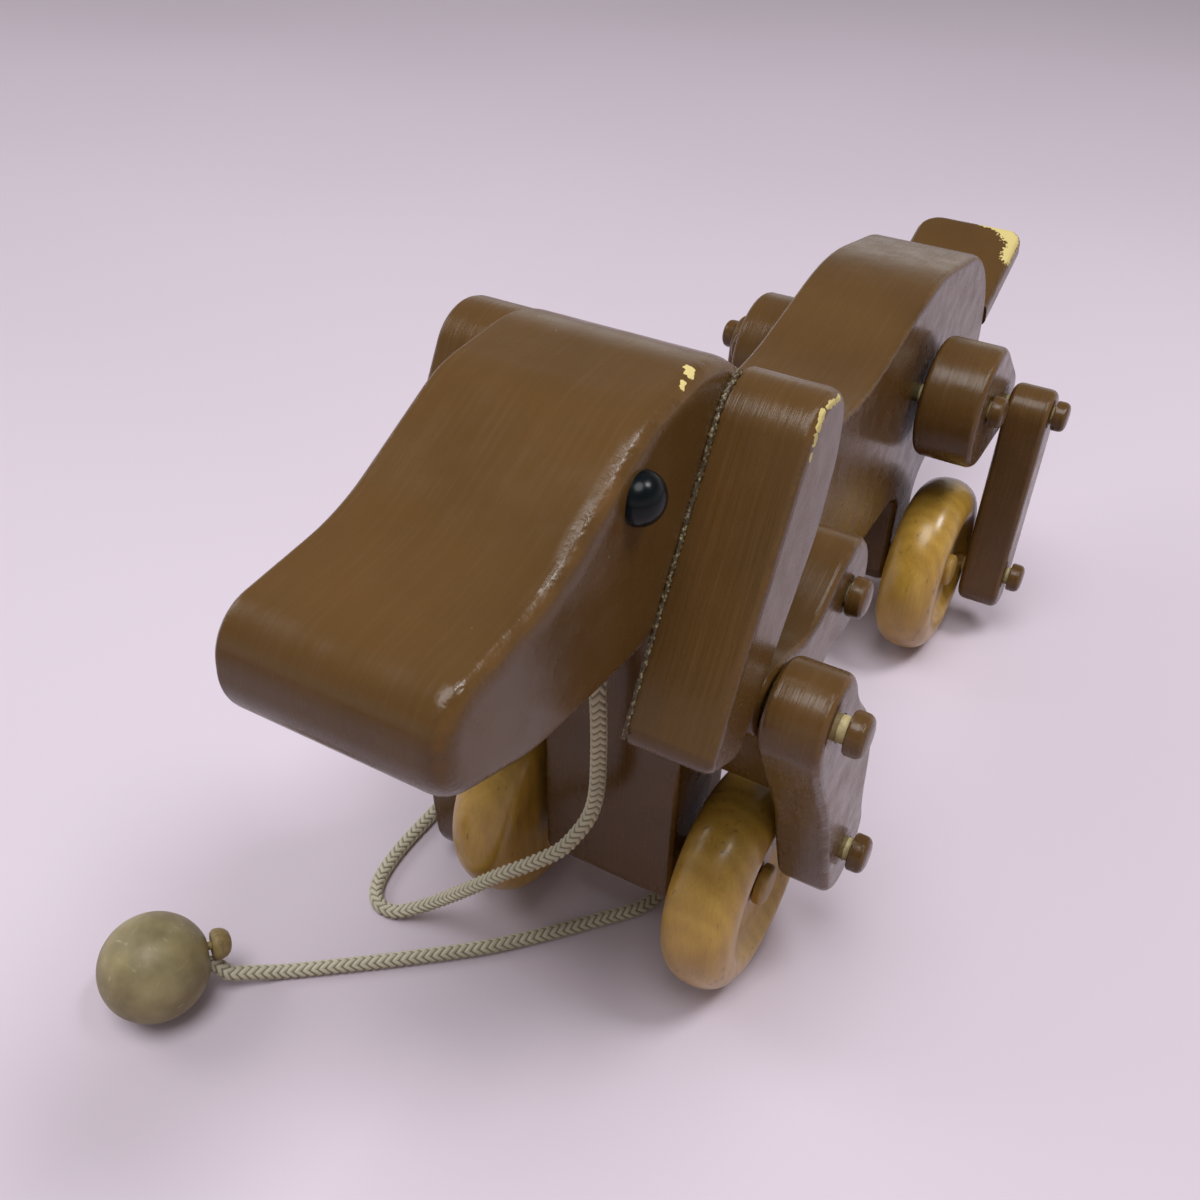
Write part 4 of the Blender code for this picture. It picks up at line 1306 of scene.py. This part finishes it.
@dataclass
class Head:
    """Head block with its ears, eyes and the glue in the ears' seams."""

    width: float = 0.0458
    round_overs: tuple = (0.0030, 0.0052)
    bottom: float = 0.1353
    dowel_x: tuple = (0.0070, -0.0080)
    dowel_radius: float = 0.0043
    dowel_depth: float = 0.0171
    ear_thickness: float = 0.0190
    ear_round_over: float = 0.0030
    ear_seam_round_over: float = 0.0006
    eye_radius: float = 0.0051
    eye_height: float = 0.0046
    eye_seat: float = 0.0008
    eye_places: dict = field(
        default_factory=lambda: {Side.LEFT: (0.0490, 0.1744), Side.RIGHT: (0.0450, 0.1730)}
    )
    head_corners: list = field(
        default_factory=lambda: [
            (-0.0170, 0.1353, 0.0075),
            (0.0500, 0.1353, 0.050),
            (0.0830, 0.1397, 0.050),
            (0.1090, 0.1500, 0.0115),
            (0.1072, 0.1692, 0.0105),
            (0.0750, 0.1717, 0.045),
            (0.0440, 0.1865, 0.028),
            (0.0160, 0.1880, 0.030),
            (-0.0170, 0.1650, 0.020),
        ]
    )
    ear_corners: list = field(
        default_factory=lambda: [
            (0.0146, 0.1837, 0.0118),
            (0.0530, 0.1180, 0.005),
            (0.0368, 0.1098, 0.006),
            (0.0050, 0.1486, 0.030),
            (-0.0010, 0.1640, 0.020),
            (-0.0010, 0.1785, 0.008),
        ]
    )

    head_chips: tuple = (
        ((0.1098, 0.0192, 0.1870), (0.1110, 0.0200, 0.1868), 0.0013),
        ((0.1140, 0.0200, 0.1864), (0.1156, 0.0204, 0.1860), 0.0008),
    )
    ear_chips: tuple = (
        ((0.0905, 0.0417, 0.1788), (0.0965, 0.0419, 0.1799), 0.0008),
        ((0.0985, 0.0419, 0.1796), (0.1011, 0.0419, 0.1772), 0.0010),
        ((0.1017, 0.0419, 0.1764), (0.1024, 0.0420, 0.1748), 0.0008),
        ((0.1034, 0.0420, 0.1730), (0.1038, 0.0420, 0.1722), 0.0006),
    )
    glue_end: float = 0.97
    glue_radii: tuple = (0.0008, 0.0005)
    glue_grains: tuple = (180, 12)
    glue_out: float = 0.0004
    glue_roughness: tuple = (0.55, 1.15)
    glue_seed: int = 11
    ear_sanding: tuple = (0.20, 0.16 * MM)

    def build(self) -> None:
        """Saw the head and the ears, turn the eyes and run the glue."""
        outline = [(FRONT_AXLE_X + x, z) for x, z in rounded(self.head_corners)]
        head = plate("head_block", outline, -self.width / 2, self.width / 2, self.round_overs)
        for x in self.dowel_x:
            drill(head, world(x, 0, self.bottom - GAP), UP, self.dowel_radius, -5 * MM, self.dowel_depth)
        keep_place(head)
        smooth(head)
        paint = BrownEnamel("brown_enamel_head", Stroke.ALONG_X, chips=self.head_chips)
        head.data.materials.append(paint.make())
        settle(head, "dog", "brown_enamel", "head")
        self.build_ears()
        self.build_eyes()
        self.run_glue()

    def build_ears(self) -> None:
        """Saw the left ear and mirror it to the right."""
        face = self.width / 2 + GAP
        outline = [(FRONT_AXLE_X + x, z) for x, z in rounded(self.ear_corners)]
        rounds = (self.ear_seam_round_over, self.ear_round_over)
        left = plate("ear_flap_left", outline, face, face + self.ear_thickness, rounds)
        right = copy_piece(left, "ear_flap_right")
        put(right, Matrix.Scale(-1, 4, ACROSS))
        for ear, side, chips in ((left, "left", self.ear_chips), (right, "right", ())):
            keep_place(ear)
            smooth(ear)
            paint = BrownEnamel("brown_enamel_ear_" + side, Stroke.ALONG_Z, *self.ear_sanding, chips)
            ear.data.materials.append(paint.make())
            settle(ear, "dog", "brown_enamel", "ear_" + side)

    def build_eyes(self) -> None:
        """Turn the domed eyes."""
        gloss = BlackGloss().make()
        profile = [(0.0, self.eye_height)]
        for angle in np.linspace(math.pi / 2, 0, 19)[1:]:
            profile.append((self.eye_radius * math.cos(angle), self.eye_height * math.sin(angle)))
        profile.append((self.eye_radius, -self.eye_seat))
        profile.append((0.0, -self.eye_seat))
        first = turned("eye_dome_left", profile, 64)
        second = copy_piece(first, "eye_dome_right")
        for eye, side in ((first, Side.LEFT), (second, Side.RIGHT)):
            x, z = self.eye_places[side]
            place = world(x, side.value * (self.width / 2 + GAP), z)
            put(eye, Matrix.Translation(place) @ Matrix.Scale(side.value, 4, ACROSS))
            smooth(eye)
            eye.data.materials.append(gloss)
            settle(eye, "dog", "black_gloss", "eye_" + side.name.lower())

    def run_glue(self) -> None:
        """Run a crusty bead of glue down the front of each ear's seam."""
        top = Vector(self.ear_corners[0][:2])
        low = Vector(self.ear_corners[1][:2])
        down = (low - top).normalized()
        ahead = Vector((-down.y, down.x)) * self.glue_out
        outline = [Vector(point) + ahead for point in rounded(self.ear_corners)]
        crest = max(outline, key=lambda point: point.y)
        bend = [point for point in outline if point.x >= crest.x and point.y > top.lerp(low, 0.5).y]
        front = np.array([tuple(point) for point in (*bend, top.lerp(low, self.glue_end) + ahead)])
        lengths = np.concatenate(([0], np.cumsum(np.linalg.norm(np.diff(front, axis=0), axis=1))))
        places, steps = self.glue_grains
        stops = np.linspace(0, lengths[-1], places)
        along, height = (np.interp(stops, lengths, front[:, axis]) for axis in range(2))
        random = np.random.default_rng(self.glue_seed)
        glue = DriedGlue().make()
        for side in Side:
            y = side.value * (self.width / 2 + self.glue_out)
            line = [world(x, y, z) for x, z in zip(along, height)]
            widths = np.linspace(*self.glue_radii, places)[:, None]
            radius = widths * random.uniform(*self.glue_roughness, (places, steps))
            bead = sweep("glue_bead_" + side.name.lower(), np.array(line), radius)
            bead.data.materials.append(glue)
            settle(bead, "dog", "brown_enamel")


@dataclass
class Pegs:
    """Mushroom-headed pegs, with painted heads on the legs and bare ones on the axles."""

    shaft_radius: float = 0.0031
    head_radius: float = 0.0051
    head_length: float = 0.0046
    axle_shaft_radius: float = 0.00325
    axle_head_radius: float = 0.0057
    axle_head_length: float = 0.0032
    head_profile: tuple = (
        (0.0, 1.0),
        (0.35, 0.99),
        (0.62, 0.965),
        (0.80, 0.90),
        (0.92, 0.79),
        (0.98, 0.65),
        (1.0, 0.50),
        (1.0, 0.12),
        (0.98, 0.04),
        (0.94, 0.0),
    )
    paint: Material | None = None
    wood: Material | None = None
    axle_wood: Material | None = None

    def dress(self) -> None:
        """Make the finishes of the pegs."""
        self.paint = BrownEnamel("brown_enamel_peg", Stroke.ALONG_X).make()
        self.wood = BARE.make()
        self.axle_wood = OILED.make()

    def turn(self, name: str, depth: float, axle: bool) -> Piece:
        """Turn a peg about Y, its head above the origin and its shaft below.

        Args:
            name: Name of the peg.
            depth: Length of the shaft.
            axle: Whether this is an axle peg.

        Returns:
            The peg.
        """
        radius = self.axle_shaft_radius if axle else self.shaft_radius
        head = self.axle_head_radius if axle else self.head_radius
        length = self.axle_head_length if axle else self.head_length
        profile = [(head * out, length * tall) for out, tall in self.head_profile]
        profile += [(radius, 0.0), (radius, -depth), (0.0, -depth)]
        peg = turned(name, profile, PEG_FACETS)
        peg.data.materials.append(self.axle_wood if axle else self.wood)
        if not axle:
            peg.data.materials.append(self.paint)
            for face in peg.data.polygons:
                face.material_index = 1 if face.center.y > -GAP else 0
        return peg

    def place(self, peg: Piece, place: Vector, side: Side, body: str, node: str, shift: float) -> None:
        """Put a peg in its place on one side of the dog.

        Args:
            peg: Peg as it was turned.
            place: Place of the underside of its head.
            side: Side of the dog.
            body: Body that carries the peg.
            node: CAD node that it stands for.
            shift: Shift of its grain.
        """
        keep_place(peg, shift)
        put(peg, Matrix.Translation(place) @ Matrix.Scale(side.value, 4, ACROSS))
        smooth(peg)
        settle(peg, body, "bare_hardwood" if node.startswith("axle") else "brown_enamel", node)


@dataclass
class Wheels:
    """Turned wheels with a full-round tread and a dished outer face, and the pegs on which they turn."""

    wheelbase: float = 0.1654
    radius: float = 0.03175
    thickness: float = 0.0197
    middle_y: float = 0.0322
    tread_depth: float = 0.0091
    tread_squareness: float = 2.2
    dish_depth: float = 0.0036
    dish_floor_radius: float = 0.0150
    dish_outer_radius: float = 0.0225
    bore_radius: float = 0.00355
    crank_radius: float = 0.0172
    crank_hole_depth: float = 0.0110
    body_peg_depth: float = 0.0160
    body_half_width: float = 0.0195
    crank_angles: dict = field(
        default_factory=lambda: {"front_left": 131, "front_right": -80, "rear_left": 200, "rear_right": 200}
    )

    def axle(self, pair: Pair) -> Vector:
        """Axle of a pair, ahead of the front axle and above the floor."""
        return Vector((0.0 if pair is Pair.FRONT else -self.wheelbase, self.radius))

    def foot(self, pair: Pair, side: Side) -> Vector:
        """Place of a wheel's crank hole in the side view."""
        angle = math.radians(self.crank_angles[corner_name(pair, side)])
        return self.axle(pair) + self.crank_radius * Vector((math.cos(angle), math.sin(angle)))

    def profile(self) -> list[tuple[float, float]]:
        """Section of a wheel from its bore over the dish and the tread to its inner face."""
        half = self.thickness / 2
        points = [(self.bore_radius, half - self.dish_depth)]
        for share in np.linspace(0, 1, 13):
            rise = self.dish_depth * (1 - math.cos(math.pi * share)) / 2
            reach = self.dish_floor_radius + (self.dish_outer_radius - self.dish_floor_radius) * share
            points.append((reach, half - self.dish_depth + rise))
        for degrees in range(84, -85, -6):
            angle = math.radians(degrees)
            across = math.copysign(abs(math.sin(angle)) ** (2 / self.tread_squareness), math.sin(angle))
            out = abs(math.cos(angle)) ** (2 / self.tread_squareness)
            points.append((self.radius - self.tread_depth + self.tread_depth * out, half * across))
        return points + [(self.radius - self.tread_depth, -half), (self.bore_radius, -half)]

    def build(self, pegs: Pegs) -> None:
        """Turn a wheel and an axle peg, and put a copy of each at every corner.

        Args:
            pegs: Pegs of the dog.
        """
        varnish = VARNISHED.make()
        pattern = turned("wheel_pattern", self.profile(), WHEEL_FACETS, ring=True)
        face = self.middle_y + self.thickness / 2
        hole = Vector((self.crank_radius, self.thickness / 2, 0))
        drill(pattern, hole, ACROSS, pegs.shaft_radius + GAP, -self.crank_hole_depth, 5 * MM)
        head_y = face - self.dish_depth + 2 * GAP
        depth = head_y - self.body_half_width + self.body_peg_depth
        peg_pattern = pegs.turn("axle_peg_pattern", depth, axle=True)
        for count, (pair, side) in enumerate((pair, side) for pair in Pair for side in Side):
            corner = corner_name(pair, side)
            axle = self.axle(pair)
            wheel = copy_piece(pattern, "turned_wheel_" + corner)
            put(wheel, Matrix.Rotation(-math.radians(self.crank_angles[corner]), 4, "Y"))
            keep_place(wheel, 0.07 * count)
            mirror = Matrix.Scale(side.value, 4, ACROSS)
            put(wheel, Matrix.Translation(world(axle.x, side.value * self.middle_y, axle.y)) @ mirror)
            smooth(wheel)
            wheel.data.materials.append(varnish)
            settle(wheel, corner + "_wheel", "varnished_hardwood", "wheel_" + corner)
            peg = copy_piece(peg_pattern, "turned_axle_peg_" + corner)
            place = world(axle.x, side.value * head_y, axle.y)
            pegs.place(peg, place, side, "dog", "axle_peg_" + corner, 0.05 * count)
        bpy.data.objects.remove(pattern, do_unlink=True)
        bpy.data.objects.remove(peg_pattern, do_unlink=True)


@dataclass
class Legs:
    """A pair of jointed legs, each an upper leg and a shin on a hip, a knee and a foot peg."""

    pair: Pair
    upper_name: str
    shin_name: str
    hip: tuple
    upper_length: float
    shin_length: float
    knee_bend: int
    upper_radii: tuple
    upper_swells: tuple
    shin_radii: tuple
    shin_swells: tuple
    upper_thickness: float
    shin_inner_y: float
    shin_thickness: float
    prouds: tuple
    upper_inner_y: float = 0.02235
    round_over: float = 0.0027
    body_half_width: float = 0.0195
    body_peg_depth: float = 0.0160
    knee_peg_depth: float = 0.0150
    upper_shifts: tuple = (0.0, 0.0)
    shin_shifts: tuple = (0.0, 0.0)

    def bar(self, name: str, span: tuple, radii: tuple, swells: tuple, thickness: float) -> Piece:
        """Saw a bar with round ends, its first pivot at the origin and its second ahead on X.

        Args:
            name: Name of the piece.
            span: Places of the middles of the two round ends on X.
            radii: Radii of the two ends.
            swells: Dip of the upper flank, bulge of the lower one, and the bulge's lead.
            thickness: Thickness of the bar, which starts at Y = 0.

        Returns:
            The bar.
        """
        dip, bulge, lead = swells
        start, end = span
        touch = math.acos((radii[0] - radii[1]) / (end - start))
        heel = arc(start, radii[0], touch, 2 * math.pi - touch)
        toe = arc(end, radii[1], -touch, touch)
        lower = flank(heel[-1], toe[0], -bulge, lead)
        upper = flank(toe[-1], heel[0], -dip)
        outline = [(point.x, point.y) for point in heel + lower + toe + upper]
        return plate(name, outline, 0.0, thickness, (self.round_over,) * 2)

    def pivots(self, foot: Vector) -> tuple[Vector, Vector]:
        """Hip and knee of a leg whose foot is at a given place in the side view."""
        hip = Vector(self.hip)
        reach = foot - hip
        span = reach.length
        reach.normalize()
        ahead = (self.upper_length**2 - self.shin_length**2 + span**2) / (2 * span)
        aside = math.sqrt(self.upper_length**2 - ahead**2)
        return hip, hip + reach * ahead + Vector((-reach.y, reach.x)) * aside * self.knee_bend

    def build(self, wheels: Wheels, pegs: Pegs) -> None:
        """Saw and drill the pieces of a leg, and put a copy of each on both sides.

        Args:
            wheels: Wheels that hold the feet.
            pegs: Pegs of the dog.
        """
        hole = pegs.shaft_radius + GAP
        span = (self.upper_shifts[0], self.upper_length + self.upper_shifts[1])
        upper = self.bar("upper_pattern", span, self.upper_radii, self.upper_swells, self.upper_thickness)
        floor = self.upper_thickness - self.knee_peg_depth - 2 * GAP
        drill(upper, Vector((0, 0, 0)), ACROSS, hole, -MM, self.upper_thickness + MM)
        drill(upper, Vector((self.upper_length, 0, 0)), ACROSS, hole, floor, self.upper_thickness + MM)
        span = (self.shin_shifts[0], self.shin_length + self.shin_shifts[1])
        shin = self.bar("shin_pattern", span, self.shin_radii, self.shin_swells, self.shin_thickness)
        for x in (0, self.shin_length):
            drill(shin, Vector((x, 0, 0)), ACROSS, hole, -MM, self.shin_thickness + MM)
        upper_face = self.upper_inner_y + self.upper_thickness
        shin_face = self.shin_inner_y + self.shin_thickness
        heads = (upper_face + self.prouds[0], shin_face + self.prouds[1], shin_face + self.prouds[2])
        wheel_face = wheels.middle_y + wheels.thickness / 2
        depths = (
            heads[0] - self.body_half_width + self.body_peg_depth,
            heads[1] - upper_face + self.knee_peg_depth,
            heads[2] - wheel_face - GAP,
        )
        peg_patterns = [pegs.turn("peg_pattern", depth, axle=False) for depth in depths]
        paint = {
            stem: BrownEnamel("brown_enamel_" + stem, Stroke.ALONG_X, *LEG_SANDING).make()
            for stem in (self.upper_name, self.shin_name)
        }
        for count, side in enumerate(Side):
            corner = corner_name(self.pair, side)
            foot = wheels.foot(self.pair, side)
            hip, knee = self.pivots(foot)
            rows = (
                (upper, self.upper_name, hip, knee - hip, self.upper_inner_y, corner + "_upper"),
                (shin, self.shin_name, knee, foot - knee, self.shin_inner_y, corner + "_shin"),
            )
            for pattern, stem, pivot, along, inner, body in rows:
                node = f"{stem}_{side.name.lower()}"
                bar = copy_piece(pattern, "sawn_" + node)
                keep_place(bar, LEG_GRAIN_SHIFT * count)
                turn = Matrix.Rotation(-math.atan2(along.y, along.x), 4, "Y")
                mirror = Matrix.Scale(side.value, 4, ACROSS)
                put(bar, Matrix.Translation(world(pivot.x, side.value * inner, pivot.y)) @ mirror @ turn)
                smooth(bar)
                bar.data.materials.append(paint[stem])
                settle(bar, body, "brown_enamel", node)
            carriers = ("dog", corner + "_upper", corner + "_shin")
            stems = ("hip", "knee", "foot")
            pivots = (hip, knee, foot)
            for stem, pattern, pivot, head, body in zip(stems, peg_patterns, pivots, heads, carriers):
                peg = copy_piece(pattern, f"turned_{stem}_peg_{corner}")
                place = world(pivot.x, side.value * head, pivot.y)
                pegs.place(peg, place, side, body, f"{stem}_peg_{corner}", PEG_GRAIN_SHIFT * count)
        for pattern in (upper, shin, *peg_patterns):
            bpy.data.objects.remove(pattern, do_unlink=True)


FRONT_LEGS = Legs(
    pair=Pair.FRONT,
    upper_name="front_upper_leg",
    shin_name="front_shin",
    hip=(-0.0277, 0.1109),
    upper_length=0.0469,
    shin_length=0.0743,
    knee_bend=1,
    upper_radii=(0.0142, 0.0086),
    upper_swells=(0.0061, 0.0280, 1.6),
    shin_radii=(0.0117, 0.0126),
    shin_swells=(0.0024, 0.0072, 1.0),
    upper_thickness=0.0195,
    shin_inner_y=0.0426,
    shin_thickness=0.0146,
    prouds=(0.0005, 0.0021, 0.0015),
)
REAR_LEGS = Legs(
    pair=Pair.REAR,
    upper_name="rear_thigh",
    shin_name="rear_shin",
    hip=(-0.1585, 0.1000),
    upper_length=0.0305,
    shin_length=0.0640,
    knee_bend=-1,
    upper_radii=(0.0200, 0.0120),
    upper_swells=(0.0, 0.0, 1.0),
    shin_radii=(0.0095, 0.0095),
    shin_swells=(0.0, 0.0, 1.0),
    upper_thickness=0.0200,
    shin_inner_y=0.0436,
    shin_thickness=0.0146,
    prouds=(0.0006, 0.0006, 0.0012),
    upper_shifts=(0.0041, 0.0),
    shin_shifts=(0.0015, 0.0035),
)


def dress_dowels(wood: Material) -> None:
    """Give the hidden dowels a bare wood finish.

    Args:
        wood: Finish of bare wood.
    """
    for name in ("head_dowel_front", "head_dowel_rear", "tail_dowel"):
        dowel = frame["nodes"][name]
        dowel.data.materials.clear()
        dowel.data.materials.append(wood)
        log.info("%s keeps its CAD shape", name)


def main() -> None:
    """Build and dress the dog, piece by piece."""
    logging.basicConfig(level=logging.INFO, format="%(message)s")
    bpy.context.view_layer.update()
    Studio().build()
    PullCord().build()
    wheels = Wheels()
    pegs = Pegs()
    pegs.dress()
    axle_hole = wheels.bore_radius
    holes = [(wheels.axle(pair).x, wheels.axle(pair).y, axle_hole) for pair in Pair]
    holes += [(*legs.hip, pegs.shaft_radius + GAP) for legs in (FRONT_LEGS, REAR_LEGS)]
    Body().build(holes)
    Head().build()
    wheels.build(pegs)
    for legs in (FRONT_LEGS, REAR_LEGS):
        legs.build(wheels, pegs)
    dress_dowels(pegs.wood)
    deselect_all()


if __name__ == "__main__":
    main()
